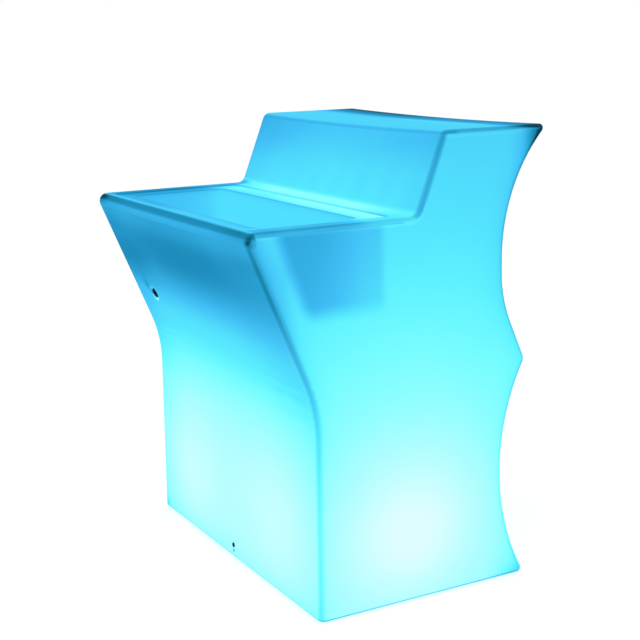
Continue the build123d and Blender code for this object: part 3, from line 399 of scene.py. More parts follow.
# the shell's upright and leaning walls
wallSettings = {
    "bendTurn": (0.33, 0.60, 0.0, -0.369),      # in the plastic's depth the staff face bends more softly
    "staffFace": (-0.80, -0.92),
    "belowNose": (0.93, 0.90),
    "leansDown": (-0.1, -0.3),
    "leansToStaff": (-0.2, -0.5),
    "tubShade": 0.91,           # of the light, kept from the overhang by the tub behind it
    "tubShadeRise": (0.627, 0.818),
    "tubShadeNarrow": 1.755,
    "overhangLine": ((0.45, 0.0), (0.50, 0.0), (0.60, 0.0), (0.66, -0.015), (0.72, -0.01), (0.76, -0.025),
                     (0.81, -0.04), (0.84, -0.045), (0.86, -0.03), (0.875, 0.0), (0.89, 0.04), (0.905, 0.075),
                     (0.925, 0.10), (0.95, 0.10)),
    "overhangFar": (-0.2, -0.36, 0.0, 0.10),    # dimmer at its far end, between these two heights
    "overhangFarFrom": (0.68, 0.74),
    "overhangFarTo": (0.86, 0.78),
    "overhangEnds": (0.25, 0.43, 0.0, 0.05),
    "overhangEndsFrom": (0.84, 0.88),
    "riserToStaff": (-0.3, -0.6),
    "riserLeansUp": (0.1, 0.3),
    "riserFrom": (0.96, 0.975),
    "riserDim": (1.03, 1.14, -0.005, 0.055),    # dimmer towards the shelf, and more so at the far end
    "riserFarDim": (0.0, -0.43, 0.0, 0.045),
    "riserFarFrom": (0.99, 1.08),
    "footDepth": 0.025,
    "footShade": (-0.7, -0.95, 0.0, 0.10),
    "farStrip": (-0.30, -0.44, 0.0, 0.03),
    "farEdge": (-0.445, -0.465, 0.0, 0.10),
    "farFootDepth": 0.03,
    "farFoot": (-0.42, -0.46, 0.0, 0.25),
    "farFacing": (-0.7, -0.90),
}


def softenedNormal(tree, normalX, normalY, normalZ, z, wall):
    step = stepsFrom(tree, wall)
    turn = step(z, "bendTurn")
    onFace = product(tree, step(normalY, "staffFace"), step(z, "belowNose"))
    outward = calc(tree, "SQRT", calc(tree, "SUBTRACT", 1.0, calc(tree, "MULTIPLY", turn, turn)))
    softY = between(tree, normalY, calc(tree, "MULTIPLY", outward, -1.0), onFace)
    softZ = between(tree, normalZ, turn, onFace)
    soft = tree.nodes.new("ShaderNodeCombineXYZ")
    for part, socket in zip((normalX, softY, softZ), soft.inputs):
        tree.links.new(part, socket)
    return soft.outputs[0]


def wallGlow(tree, place, normal, glow, wall):
    # the level of light on upright and leaning walls
    step = stepsFrom(tree, wall)
    x, y, z = splitUp(tree, place)
    normalX, normalY, normalZ = splitUp(tree, normal)
    normal = softenedNormal(tree, normalX, normalY, normalZ, z, wall)
    light = total(tree, lampLight(tree, place, normal, glow, -1), lampLight(tree, place, normal, glow, 1))
    light = calc(tree, "MULTIPLY_ADD", fadeAway(tree, z, glow["floorGlowHeight"]), glow["floorGlow"], light)
    # the tub stands behind the overhang and keeps the light from it
    under = product(tree, step(normalZ, "leansDown"), step(normalY, "leansToStaff"))
    across = calc(tree, "MULTIPLY_ADD", calc(tree, "MULTIPLY", x, x), -wall["tubShadeNarrow"], 1.0)
    kept = darker(tree, 1.0, wall["tubShade"], under, step(z, "tubShadeRise"), across)
    light = calc(tree, "MULTIPLY_ADD", light, kept, 1.0)
    level = calc(tree, "MULTIPLY_ADD", calc(tree, "LOGARITHM", light, math.e), glow["gain"], glow["base"])
    # more light reaches the top of the overhang past the tub's flange
    farShade = product(tree, step(x, "overhangFar"), step(z, "overhangFarFrom"), step(z, "overhangFarTo"))
    endsShade = product(tree, step(calc(tree, "ABSOLUTE", x), "overhangEnds"), step(z, "overhangEndsFrom"))
    overhang = calc(tree, "SUBTRACT", lineThrough(tree, z, wall["overhangLine"]), total(tree, farShade, endsShade))
    level = calc(tree, "MULTIPLY_ADD", under, overhang, level)
    riser = product(tree, step(normalY, "riserToStaff"), step(normalZ, "riserLeansUp"), step(z, "riserFrom"))
    dim = total(tree, step(z, "riserDim"), product(tree, step(x, "riserFarDim"), step(z, "riserFarFrom")))
    level = calc(tree, "SUBTRACT", level, product(tree, riser, dim))
    # painted shade: the staff face darkens at the floor and towards its far end
    foot = product(tree, fadeAway(tree, z, wall["footDepth"]), step(normalY, "footShade"))
    farFoot = product(tree, fadeAway(tree, z, wall["farFootDepth"]), step(x, "farFoot"))
    farSide = product(tree, total(tree, step(x, "farStrip"), step(x, "farEdge"), farFoot), step(normalY, "farFacing"))
    return calc(tree, "SUBTRACT", level, total(tree, foot, farSide))


# painted shade on the shell's two flat ends
endSettings = {
    "facesEnd": (0.85, 0.97),
    "tubLean": 0.356,           # the tub's staff wall, as its painted shadow on the end shows it
    "tubStaffY": -0.283,
    "tubStaffZ": 0.771,
    "tubStaffEdge": (-0.014, 0.034),
    "tubGuestEdge": (-0.047, -0.077),
    "tubBottom": (0.722, 0.78),
    "tubShade": (-0.06, -0.27, 0.10, 0.24),     # the patch is darker towards the staff
    "guestOutline": ((0.0, 0.3593), (0.1, 0.3155), (0.2, 0.2913), (0.284, 0.2849), (0.4, 0.2962), (0.5, 0.3257),
                     (0.569, 0.3577), (0.62, 0.3355), (0.67, 0.3138), (0.735, 0.2937), (0.797, 0.2876),
                     (0.832, 0.2876), (0.9, 0.2929), (1.0, 0.3210), (1.08, 0.3645), (1.12, 0.3954), (1.16, 0.4300)),
    "outlineShade": 0.12,
    "outlineWidth": 0.02,
    "tipShade": (0.29, 0.41, 0.0, 0.16),        # light hardly reaches the shelf's tip
    "tipFrom": (0.93, 1.0),
    "staffStrip": (-0.28, -0.33, 0.0, 0.05),
    "staffStripFrom": (0.6, 0.7),
    "staffStripTo": (0.94, 0.84, 0.2, 1.0),
    "staffLean": -0.397,        # the staff outline of the end, above the bend
    "staffLeanStart": -0.026,
    "staffUprightY": -0.230,
    "staffEdgeWidth": 0.022,
    "staffEdgeShade": (0.42, 0.90, 0.03, 0.13),
    "footDepth": 0.03,
    "footShade": (0.22, 0.34, 0.0, 0.32),
    "seamY": 0.283,             # a faint parting line, below the ridge
    "seamWidth": (0.0022, 0.0004),
    "seamTo": (0.33, 0.25),
    "seamShade": 0.035,
}


def endShade(tree, y, z, end):
    step = stepsFrom(tree, end)
    # painted shadow of the tub's end, which stands close to the counter's end
    staffWall = calc(tree, "MULTIPLY_ADD", calc(tree, "SUBTRACT", z, end["tubStaffZ"]), end["tubLean"],
                     calc(tree, "SUBTRACT", y, end["tubStaffY"]))
    tubShadow = product(tree, step(staffWall, "tubStaffEdge"), step(y, "tubGuestEdge"), step(z, "tubBottom"),
                    step(y, "tubShade"))
    # painted shade: the glow dims where the wall thickens towards the guests' outline
    gap = calc(tree, "MAXIMUM", calc(tree, "SUBTRACT", lineThrough(tree, z, end["guestOutline"]), y), 0.0)
    outline = calc(tree, "MULTIPLY", fadeAway(tree, gap, end["outlineWidth"]), end["outlineShade"])
    tip = product(tree, step(y, "tipShade"), step(z, "tipFrom"))
    # painted shade towards the staff outline too
    strip = product(tree, step(y, "staffStrip"), step(z, "staffStripFrom"), step(z, "staffStripTo"))
    staffEdge = calc(tree, "MINIMUM", end["staffUprightY"],
                     calc(tree, "MULTIPLY_ADD", z, end["staffLean"], end["staffLeanStart"]))
    inward = calc(tree, "MAXIMUM", calc(tree, "SUBTRACT", y, staffEdge), 0.0)
    edge = product(tree, fadeAway(tree, inward, end["staffEdgeWidth"]), step(z, "staffEdgeShade"))
    foot = product(tree, fadeAway(tree, z, end["footDepth"]), step(y, "footShade"))
    return total(tree, tubShadow, outline, tip, strip, edge, foot)


# painted light and shade round the water outlet
outletSettings = {
    "placeX": -0.3318,
    "placeZ": 0.679,
    "upTheFace": 1.07,          # the face leans, so it is longer than its height
    "ringEdge": (0.0255, 0.0215),
    "ringTilt": 0.5,
    "ringLower": (0.008, -0.006),
    "ringLight": 0.20,
    "dimpleShade": (-0.362, -0.315, 0.703),
    "dimpleShadeSharpness": 3500.0,
    "dimpleShadeAmount": 0.16,
    "facesStaff": (-0.3, -0.6),
}


def outletLightAndShade(tree, place, x, z, normalY, outlet):
    # painted light gathers in the lower half of the dimple, and painted shade lies in the dimple above it
    step = stepsFrom(tree, outlet)
    across = calc(tree, "SUBTRACT", x, outlet["placeX"])
    upward = calc(tree, "MULTIPLY", calc(tree, "SUBTRACT", z, outlet["placeZ"]), outlet["upTheFace"])
    tilted = calc(tree, "MULTIPLY_ADD", upward, outlet["ringTilt"], across)
    ring = product(tree, step(radiusOf(tree, across, upward), "ringEdge"), step(tilted, "ringLower"))
    above = vectorCalc(tree, "LENGTH", vectorCalc(tree, "SUBTRACT", place, outlet["dimpleShade"]))
    dimpleShade = calc(tree, "EXPONENT", product(tree, above, above, -outlet["dimpleShadeSharpness"]))
    marks = mixOf(tree, ring, outlet["ringLight"], dimpleShade, -outlet["dimpleShadeAmount"])
    return product(tree, marks, step(normalY, "facesStaff"))


# work deck and guest shelf
topSettings = {
    "facesUp": (0.55, 0.92),
    "fromDeck": (0.90, 0.92),
    "fromShelf": (1.05, 1.1),
    "deckLine": ((-0.43, 0.43), (-0.385, 0.43), (-0.33, 0.38), (-0.25, 0.34), (-0.16, 0.36), (-0.08, 0.53),
                 (0.0, 0.70), (0.045, 0.74)),
    "deckCorners": (0.2, 0.44, 0.0, 0.17),      # painted shade in the corners by the riser
    "deckCornersFrom": (-0.10, 0.0),
    "deckFarEnd": (-0.39, -0.43, 0.0, 0.23),
    "deckNearEnd": (0.40, 0.43, 0.0, 0.10),
    "deckNearEndFrom": (-0.30, -0.36),
    "shelfLine": ((0.08, 0.42), (0.2, 0.43), (0.24, 0.43), (0.28, 0.40), (0.31, 0.26), (0.33, 0.11), (0.37, -0.03),
                  (0.43, -0.08)),
    "nearTip": (-0.15, 0.15, 0.0, 0.13),
    "nearTipEnd": (0.45, 0.32, 0.2, 1.0),
    "nearTipFrom": (0.25, 0.31),
    "seatFrom": (0.940, 0.943),       # the step that the tub's flange lies in
    "seatTo": (0.9545, 0.9535),
    "seatTurned": (0.7, 0.3),
    "seatStaff": (-0.3875, -0.3865),
    "seatGuest": (0.0, -0.006),
    "seatShade": 0.14,
}


def topLevel(tree, x, y, z, top):
    step = stepsFrom(tree, top)
    corners = product(tree, step(calc(tree, "ABSOLUTE", x), "deckCorners"), step(y, "deckCornersFrom"))
    nearEnd = product(tree, step(x, "deckNearEnd"), step(y, "deckNearEndFrom"))
    deck = calc(tree, "SUBTRACT", lineThrough(tree, y, top["deckLine"]),
                total(tree, corners, nearEnd, step(x, "deckFarEnd")))
    nearTip = product(tree, step(x, "nearTip"), step(x, "nearTipEnd"), step(y, "nearTipFrom"))
    shelf = total(tree, lineThrough(tree, y, top["shelfLine"]), nearTip)
    return between(tree, deck, shelf, step(z, "fromShelf"))


# painted light and shade on the roundings along the staff edge of the deck and of the shelf, and at the two ends
roundingSettings = {
    "noseLine": ((-0.4, 0.22), (-0.3, 0.235), (-0.1, 0.26), (0.05, 0.275), (0.15, 0.29), (0.25, 0.27), (0.35, 0.22),
                 (0.45, 0.14), (0.55, 0.09), (0.65, 0.08), (0.75, 0.07), (0.85, 0.11), (0.93, 0.31), (0.98, 0.40),
                 (1.0, 0.42)),
    "noseEnds": (0.26, 0.42, 0.0, 0.08),
    "noseEndsFrom": (-0.35, 0.2),
    "noseEndsTo": (1.0, 0.9),
    "farCorner": (-0.38, -0.455, 0.0, 0.15),
    "farCornerFrom": (-0.35, 0.3),
    "farCornerTo": (0.99, 0.9),
    "noseHeight": (0.915, 0.927),
    "noseStaff": (-0.384, -0.392),
    "noseTurned": (-0.365, -0.25),
    "riserTopFrom": (0.40, 0.62),
    "riserTopTo": (0.92, 0.72),
    "riserTopHeight": (1.10, 1.12),
    "riserTopStaff": (0.16, 0.14),
    "riserTopShade": 0.13,
    "floorTurned": (-0.05, -0.5),       # the rounding at the floor turns away from the lamps
    "floorHeight": (0.03, 0.02),
    "floorShade": 0.30,
    "high": (0.5, 0.65),
    "lateFrom": (0.55, 0.75),
    "lateTo": (0.96, 0.86),
    "lateShade": 0.04,
    "highRelief": 0.15,
    "rimLine": ((0.0, 0.0), (0.15, 0.02), (0.25, 0.08), (0.35, 0.12), (0.45, 0.18), (0.55, 0.18), (0.65, 0.19),
                (0.75, 0.22), (0.85, 0.11), (0.93, 0.05), (0.98, 0.02), (1.0, 0.0)),
    "rimAlongDeck": (-0.17, -0.04, 1.0, 0.55),
    "rimOnShelf": 1.15,
    "deckRimFrom": (0.93, 0.936),
    "deckRimTo": (1.0, 0.97),
    "shelfRimFrom": (1.125, 1.132),
    "rimTurned": (0.5, 0.2),
    "tipShade": (0.33, 0.43, 0.0, 0.62),
    "tipHeight": (1.02, 1.10),
    "tipTurned": (1.0, 0.8),
    "tipNear": (0.2, 0.4, 0.5, 1.0),
    "cornerTurned": (0.05, 0.6, 0.0, 0.85),
    "spotNear": (0.0, 0.3, 0.0, 0.3),       # the darkest painted shade, under the near corner of the deck
    "spotFrom": (-0.35, 0.0),
    "spotTo": (0.7, 0.35),
    "greyFrom": (0.02, 0.16),
    "noseGreyFrom": (0.3, 0.5, 0.0, 0.7),
    "noseGreyTo": (0.98, 0.9),
    "shadeTint": (1.0, 0.95, 0.88),
    "darkest": -0.12,
}


def noseLevel(tree, x, normalZ, rounding):
    step = stepsFrom(tree, rounding)
    ends = product(tree, step(calc(tree, "ABSOLUTE", x), "noseEnds"), step(normalZ, "noseEndsFrom"),
                   step(normalZ, "noseEndsTo"))
    farCorner = product(tree, step(x, "farCorner"), step(normalZ, "farCornerFrom"), step(normalZ, "farCornerTo"))
    return calc(tree, "SUBTRACT", lineThrough(tree, normalZ, rounding["noseLine"]), total(tree, ends, farCorner))


def endRoundings(tree, place, normal, atNose, onShelf, rounding):
    # painted shade: how much darker the glow on the roundings between the ends and the other faces is
    step = stepsFrom(tree, rounding)
    x, y, z = splitUp(tree, place)
    normalX, normalY, normalZ = splitUp(tree, normal)
    towardsEnd = calc(tree, "ABSOLUTE", normalX)
    turned = calc(tree, "MULTIPLY", normalX, normalX)
    turned = calc(tree, "MULTIPLY", turned, calc(tree, "SUBTRACT", 1.0, turned))
    high = step(z, "high")
    late = product(tree, step(towardsEnd, "lateFrom"), step(towardsEnd, "lateTo"), high)
    upright = mixOf(tree, late, rounding["lateShade"], turned,
                    calc(tree, "MULTIPLY_ADD", high, -rounding["highRelief"], 1.0))
    rim = product(tree, lineThrough(tree, towardsEnd, rounding["rimLine"]),
                  between(tree, step(y, "rimAlongDeck"), rounding["rimOnShelf"], onShelf))
    alongTop = calc(tree, "MAXIMUM", product(tree, step(z, "deckRimFrom"), step(z, "deckRimTo")),
                    step(z, "shelfRimFrom"))
    alongTop = product(tree, alongTop, step(calc(tree, "ABSOLUTE", normalY), "rimTurned"))
    tip = product(tree, step(y, "tipShade"), step(z, "tipHeight"), step(normalZ, "tipTurned"), step(x, "tipNear"))
    shade = total(tree, between(tree, upright, rim, alongTop), tip)
    shade = product(tree, shade, darker(tree, 1.0, 1.0, atNose, step(normalZ, "cornerTurned")))
    spot = product(tree, atNose, turned, step(x, "spotNear"), step(normalZ, "spotFrom"), step(normalZ, "spotTo"))
    return total(tree, shade, spot)


shellSettings = {
    "smoothAngle": 32.0,
    "mergeDistance": 0.00002,
    "outside": (-0.03, -0.006),     # the inner walls and corners stay plain
}


def shellPlastic(glow, wall, end, outlet, top, rounding, shell):
    material, tree, shader = newMaterial("glowingShellPlastic")
    coordinates = tree.nodes.new("ShaderNodeTexCoord")
    place, normal = coordinates.outputs["Object"], coordinates.outputs["Normal"]
    x, y, z = splitUp(tree, place)
    normalX, normalY, normalZ = splitUp(tree, normal)
    outside = softStep(tree, calc(tree, "MULTIPLY", x, normalX), *shell["outside"])
    onEnd = product(tree, softStep(tree, calc(tree, "ABSOLUTE", normalX), *end["facesEnd"]), outside)
    level = darker(tree, wallGlow(tree, place, normal, glow, wall), 1.0, endShade(tree, y, z, end), onEnd)
    level = total(tree, level, outletLightAndShade(tree, place, x, z, normalY, outlet))
    step = stepsFrom(tree, end)
    seam = calc(tree, "ABSOLUTE", calc(tree, "SUBTRACT", y, end["seamY"]))
    level = darker(tree, level, end["seamShade"], step(seam, "seamWidth"), step(z, "seamTo"), onEnd)
    # deck and shelf, which face up
    step = stepsFrom(tree, top)
    flat = topLevel(tree, x, y, z, top)
    level = between(tree, level, flat, product(tree, step(normalZ, "facesUp"), step(z, "fromDeck")))
    seat = product(tree, step(z, "seatFrom"), step(z, "seatTo"), step(normalZ, "seatTurned"),
                   step(y, "seatStaff"), step(y, "seatGuest"))
    onShelf = step(z, "fromShelf")
    # roundings
    step = stepsFrom(tree, rounding)
    atNose = product(tree, step(z, "noseHeight"), step(y, "noseStaff"), step(normalZ, "noseTurned"))
    level = between(tree, level, noseLevel(tree, x, normalZ, rounding), atNose)
    level = darker(tree, level, rounding["riserTopShade"], step(normalZ, "riserTopFrom"),
                   step(normalZ, "riserTopTo"), step(z, "riserTopHeight"), step(y, "riserTopStaff"))
    level = between(tree, level, calc(tree, "SUBTRACT", flat, top["seatShade"]), seat)
    level = darker(tree, level, rounding["floorShade"], step(normalZ, "floorTurned"), step(z, "floorHeight"))
    edge = product(tree, endRoundings(tree, place, normal, atNose, onShelf, rounding), outside)
    level = calc(tree, "MAXIMUM", calc(tree, "SUBTRACT", level, edge), rounding["darkest"])
    clouds = calc(tree, "SUBTRACT", noise(tree, place, *glow["clouds"]), 0.5)
    level = calc(tree, "MULTIPLY_ADD", clouds, glow["cloudiness"], level)
    # painted shade: the glow turns a little greyer where the thick roundings are shaded most
    noseGrey = product(tree, atNose, step(normalZ, "noseGreyFrom"), step(normalZ, "noseGreyTo"))
    greyInShade = calc(tree, "MAXIMUM", product(tree, step(edge, "greyFrom"), step(z, "high")), noseGrey)
    finishGlow(tree, shader, level, glow, greyInShade, rounding["shadeTint"])
    bump(tree, shader, noise(tree, place, *glow["grain"]), glow["grainDepth"], glow["grainStrength"])
    return material


def smoothCopy(nodeName, name, shell):
    source = nodes[nodeName]
    piece = source.copy()
    piece.data = source.data.copy()
    piece.name = name
    piece.parent = None
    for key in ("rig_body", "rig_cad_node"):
        if key in piece:
            del piece[key]
    bpy.context.scene.collection.objects.link(piece)
    pickOnly(piece)
    bpy.ops.object.mode_set(mode="EDIT")
    bpy.ops.mesh.select_all(action="SELECT")
    bpy.ops.mesh.remove_doubles(threshold=shell["mergeDistance"])
    bpy.ops.mesh.customdata_custom_splitnormals_clear()
    bpy.ops.object.mode_set(mode="OBJECT")
    bpy.ops.object.shade_smooth_by_angle(angle=math.radians(shell["smoothAngle"]))
    weighted = piece.modifiers.new("evenNormals", "WEIGHTED_NORMAL")
    weighted.keep_sharp = True
    weighted.weight = 100
    bpy.ops.object.modifier_apply(modifier=weighted.name)
    piece.data.materials.clear()
    return piece


sagSettings = {
    "shelfDrop": 0.0055,        # at mid span
    "deckDrop": 0.004,
    "shelfFrom": (1.06, 1.14),
    "deckNose": (0.386, 0.418),
    "deckFrom": (0.78, 0.93),
    "cuts": 16,
    "halfLength": 0.4685,
}


def ease(value, start, end):
    share = min(1.0, max(0.0, (value - start) / (end - start)))
    return share * share * (3 - 2 * share)


def letSag(piece, settings):
    # the long moulded edges hang down a little between the ends
    pickOnly(piece)
    bpy.ops.object.mode_set(mode="EDIT")
    half = settings["halfLength"]
    for i in range(1, settings["cuts"]):
        bpy.ops.mesh.select_all(action="SELECT")
        bpy.ops.mesh.bisect(plane_co=(half * (2 * i / settings["cuts"] - 1), 0, 0), plane_no=(1, 0, 0))
    bpy.ops.object.mode_set(mode="OBJECT")
    for vertex in piece.data.vertices:
        x, y, z = vertex.co
        along = max(0.0, 1 - (x / half) ** 2)
        shelf = settings["shelfDrop"] * ease(z, *settings["shelfFrom"])
        deck = settings["deckDrop"] * ease(-y, *settings["deckNose"]) * ease(z, *settings["deckFrom"])
        vertex.co.z -= along * (shelf + deck)


counterShell = smoothCopy("body_shell", "counterShell", shellSettings)
letSag(counterShell, sagSettings)
counterShell.data.materials.append(shellPlastic(glowSettings, wallSettings, endSettings, outletSettings,
                                                topSettings, roundingSettings, shellSettings))
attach(counterShell, "counter")
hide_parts("body_shell")
print("counter: shell made")


# the ice tub takes its light from the space round it
tubSettings = {
    "flangeLine": ((-0.39, 0.43), (-0.37, 0.42), (-0.345, 0.37), (-0.28, 0.36), (-0.2, 0.38), (-0.14, 0.42),
                   (-0.07, 0.62), (-0.03, 0.72), (0.0, 0.72)),
    "nearFlange": 0.51,
    "nearFlangeFrom": (0.37, 0.40),
    "nearFlangeStaff": (-0.08, -0.14),
    "farHalf": (0.05, -0.2, 0.0, 0.10),
    "farFlange": (-0.36, -0.40, 0.0, 0.08),
    "flangeFrom": (0.86, 0.93),
    "guestWall": 0.47,
    "staffWall": 0.40,
    "farEndLine": ((-0.39, 0.35), (-0.25, 0.36), (-0.12, 0.42), (-0.07, 0.47), (0.0, 0.47)),
    "nearEnd": 0.42,
    "tubFloor": 0.60,
    "flangeTop": 0.9530,
    "wallTurned": (0.9, 0.5),
    "rimFrom": (0.25, 0.5),
    "rimTo": (0.95, 0.75),
    "rimHeight": (0.94, 0.943),
    "rimShade": 0.10,           # painted shade: a dark line round the mouth
    "underRim": 0.20,           # and down the walls for some millimetres
    "underRimDepth": 0.006,
    "flangeHeight": (0.935, 0.939),
    "flangeEnds": (0.4155, 0.4175),
    "flangeStaff": (-0.3815, -0.3830),
    "flangeGuest": (-0.0115, -0.0100),
    "flangeTurned": (0.97, 0.7),
    "flangeEdge": 0.12,
    "staffEdge": 0.16,
}


def tubPlastic(glow, tub):
    material, tree, shader = newMaterial("glowingTubPlastic")
    step = stepsFrom(tree, tub)
    coordinates = tree.nodes.new("ShaderNodeTexCoord")
    place, normal = coordinates.outputs["Object"], coordinates.outputs["Normal"]
    x, y, z = splitUp(tree, place)
    normalX, normalY, normalZ = splitUp(tree, normal)

    def turnedTo(part, sign):
        towards = calc(tree, "MAXIMUM", calc(tree, "MULTIPLY", part, float(sign)), 0.0)
        return calc(tree, "MULTIPLY", towards, towards)

    flange = between(tree, lineThrough(tree, y, tub["flangeLine"]), tub["nearFlange"],
                     product(tree, step(x, "nearFlangeFrom"), step(y, "nearFlangeStaff")))
    flange = calc(tree, "SUBTRACT", flange, total(tree, step(x, "farFlange"), step(x, "farHalf")))
    flange = between(tree, tub["tubFloor"], flange, step(z, "flangeFrom"))
    farEnd = lineThrough(tree, y, tub["farEndLine"])
    level = calc(tree, "MULTIPLY", turnedTo(normalY, -1), tub["guestWall"])
    for part, sign, given in ((normalY, 1, tub["staffWall"]), (normalX, 1, farEnd), (normalX, -1, tub["nearEnd"]),
                              (normalZ, 1, flange), (normalZ, -1, tub["tubFloor"])):
        level = calc(tree, "MULTIPLY_ADD", turnedTo(part, sign), given, level)
    # painted shade on the edges: the mouth's rounding, and the flange's own rim
    depth = calc(tree, "MAXIMUM", calc(tree, "SUBTRACT", tub["flangeTop"], z), 0.0)
    level = darker(tree, level, tub["underRim"], fadeAway(tree, depth, tub["underRimDepth"]),
                   step(normalZ, "wallTurned"))
    level = darker(tree, level, tub["rimShade"], step(normalZ, "rimFrom"), step(normalZ, "rimTo"),
                   step(z, "rimHeight"))
    ends = step(calc(tree, "ABSOLUTE", x), "flangeEnds")
    staffSide = step(y, "flangeStaff")
    sides = calc(tree, "MAXIMUM", calc(tree, "MAXIMUM", ends, staffSide), step(y, "flangeGuest"))
    atFlange = step(z, "flangeHeight")
    edge = darker(tree, calc(tree, "SUBTRACT", flange, tub["flangeEdge"]), tub["staffEdge"], staffSide, atFlange)
    level = between(tree, level, edge, product(tree, sides, atFlange, step(normalZ, "flangeTurned")))
    clouds = calc(tree, "SUBTRACT", noise(tree, place, *glow["tubClouds"]), 0.5)
    level = calc(tree, "MULTIPLY_ADD", clouds, glow["cloudiness"], level)
    finishGlow(tree, shader, level, glow)
    bump(tree, shader, noise(tree, place, *glow["tubGrain"]), glow["grainDepth"], glow["tubGrainStrength"])
    return material


iceTub = smoothCopy("ice_tub", "iceTub", shellSettings)
iceTub.data.materials.append(tubPlastic(glowSettings, tubSettings))
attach(iceTub, "tub")
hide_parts("ice_tub")
print("counter: tub made")


# moulded plastics and rubbers: mottled colour, a fine grain and a few handling marks
mouldedFinish = {
    "mottle": (38.0, 4.0, 0.6),       # noise: scale, detail and roughness
    "mottlePlaces": (0.3, 0.7),
    "wear": (120.0, 5.0, 0.7),
    "wearPlaces": (0.35, 0.65),
    "grain": (3.0, 0.6),       # detail and roughness, the scale is each plastic's own
    "relief": (0.00015, 0.35),       # depth and strength
}
mouldedSettings = {
    "whiteFitting": {"dark": (0.60, 0.62, 0.62), "light": (0.78, 0.80, 0.80),
                     "rough": (0.34, 0.46), "grain": 900.0, "gloss": 0.4},
    "blackFitting": {"dark": (0.002, 0.003, 0.010), "light": (0.006, 0.008, 0.022),
                     "rough": (0.62, 0.78), "grain": 1400.0, "gloss": 0.04},
    "jackPlastic": {"dark": (0.001, 0.045, 0.170), "light": (0.003, 0.070, 0.230),
                    "rough": (0.55, 0.70), "grain": 2200.0, "gloss": 0.06},
    "buttonPlastic": {"dark": (0.060, 0.560, 0.800), "light": (0.090, 0.640, 0.880),
                      "rough": (0.40, 0.55), "grain": 2200.0, "gloss": 0.2},
    "boxPlastic": {"dark": (0.016, 0.016, 0.018), "light": (0.034, 0.034, 0.037),
                   "rough": (0.50, 0.66), "grain": 1100.0, "gloss": 0.3},
    "socketPlastic": {"dark": (0.62, 0.59, 0.50), "light": (0.76, 0.73, 0.64),
                      "rough": (0.38, 0.5), "grain": 1600.0, "gloss": 0.4},
    "sealRubber": {"dark": (0.010, 0.010, 0.010), "light": (0.028, 0.028, 0.029),
                   "rough": (0.70, 0.86), "grain": 2400.0, "gloss": 0.2},
    "stopperRubber": {"dark": (0.40, 0.41, 0.41), "light": (0.55, 0.56, 0.56),
                      "rough": (0.58, 0.74), "grain": 1900.0, "gloss": 0.25},
    "footRubber": {"dark": (0.009, 0.009, 0.010), "light": (0.032, 0.031, 0.030),
                   "rough": (0.68, 0.88), "grain": 1500.0, "gloss": 0.2},
    "leadJacket": {"dark": (0.52, 0.53, 0.53), "light": (0.66, 0.67, 0.67),
                   "rough": (0.42, 0.56), "grain": 2600.0, "gloss": 0.35},
    "batteryJacket": {"dark": (0.30, 0.016, 0.012), "light": (0.44, 0.030, 0.022),
                      "rough": (0.38, 0.52), "grain": 2600.0, "gloss": 0.4},
}


def moulded(name):
    finish, look = mouldedFinish, mouldedSettings[name]
    material, tree, shader = newMaterial(name)
    place = objectPlace(tree)
    mottle = noise(tree, place, *finish["mottle"])
    paint(tree, shader, mottle, finish["mottlePlaces"], (look["dark"], look["light"]))
    roughen(tree, shader, noise(tree, place, *finish["wear"]), finish["wearPlaces"], look["rough"])
    bump(tree, shader, noise(tree, place, look["grain"], *finish["grain"]), *finish["relief"])
    give(shader, {"Specular IOR Level": look["gloss"]})
    return material


# metals, brushed along one way
brushedFinish = {
    "lines": (1.0, 4.0, 0.7),
    "linesShare": 0.6,
    "stains": (24.0, 4.0, 0.6),
    "stainsShare": 0.4,
    "places": (0.35, 0.65),
    "relief": (0.00006, 0.4),
}
metalSettings = {
    "plateAluminium": {"dark": (0.50, 0.51, 0.52), "light": (0.66, 0.67, 0.68),
                       "rough": (0.30, 0.44), "stretch": (6, 900, 900)},
    "screwSteel": {"dark": (0.40, 0.40, 0.41), "light": (0.60, 0.60, 0.61),
                   "rough": (0.24, 0.38), "stretch": (260, 1800, 260)},
    "strapSteel": {"dark": (0.42, 0.42, 0.43), "light": (0.62, 0.62, 0.63),
                   "rough": (0.26, 0.40), "stretch": (30, 1300, 30)},
    "contactBrass": {"dark": (0.44, 0.29, 0.10), "light": (0.62, 0.44, 0.18),
                     "rough": (0.22, 0.38), "stretch": (500, 500, 500)},
}


def brushed(name):
    finish, look = brushedFinish, metalSettings[name]
    material, tree, shader = newMaterial(name)
    lines = noise(tree, objectPlace(tree, look["stretch"]), *finish["lines"])
    stains = noise(tree, objectPlace(tree), *finish["stains"])
    tone = mixOf(tree, lines, finish["linesShare"], stains, finish["stainsShare"])
    paint(tree, shader, tone, finish["places"], (look["dark"], look["light"]))
    roughen(tree, shader, tone, finish["places"], look["rough"])
    give(shader, {"Metallic": 1.0})
    bump(tree, shader, lines, *finish["relief"])
    return material


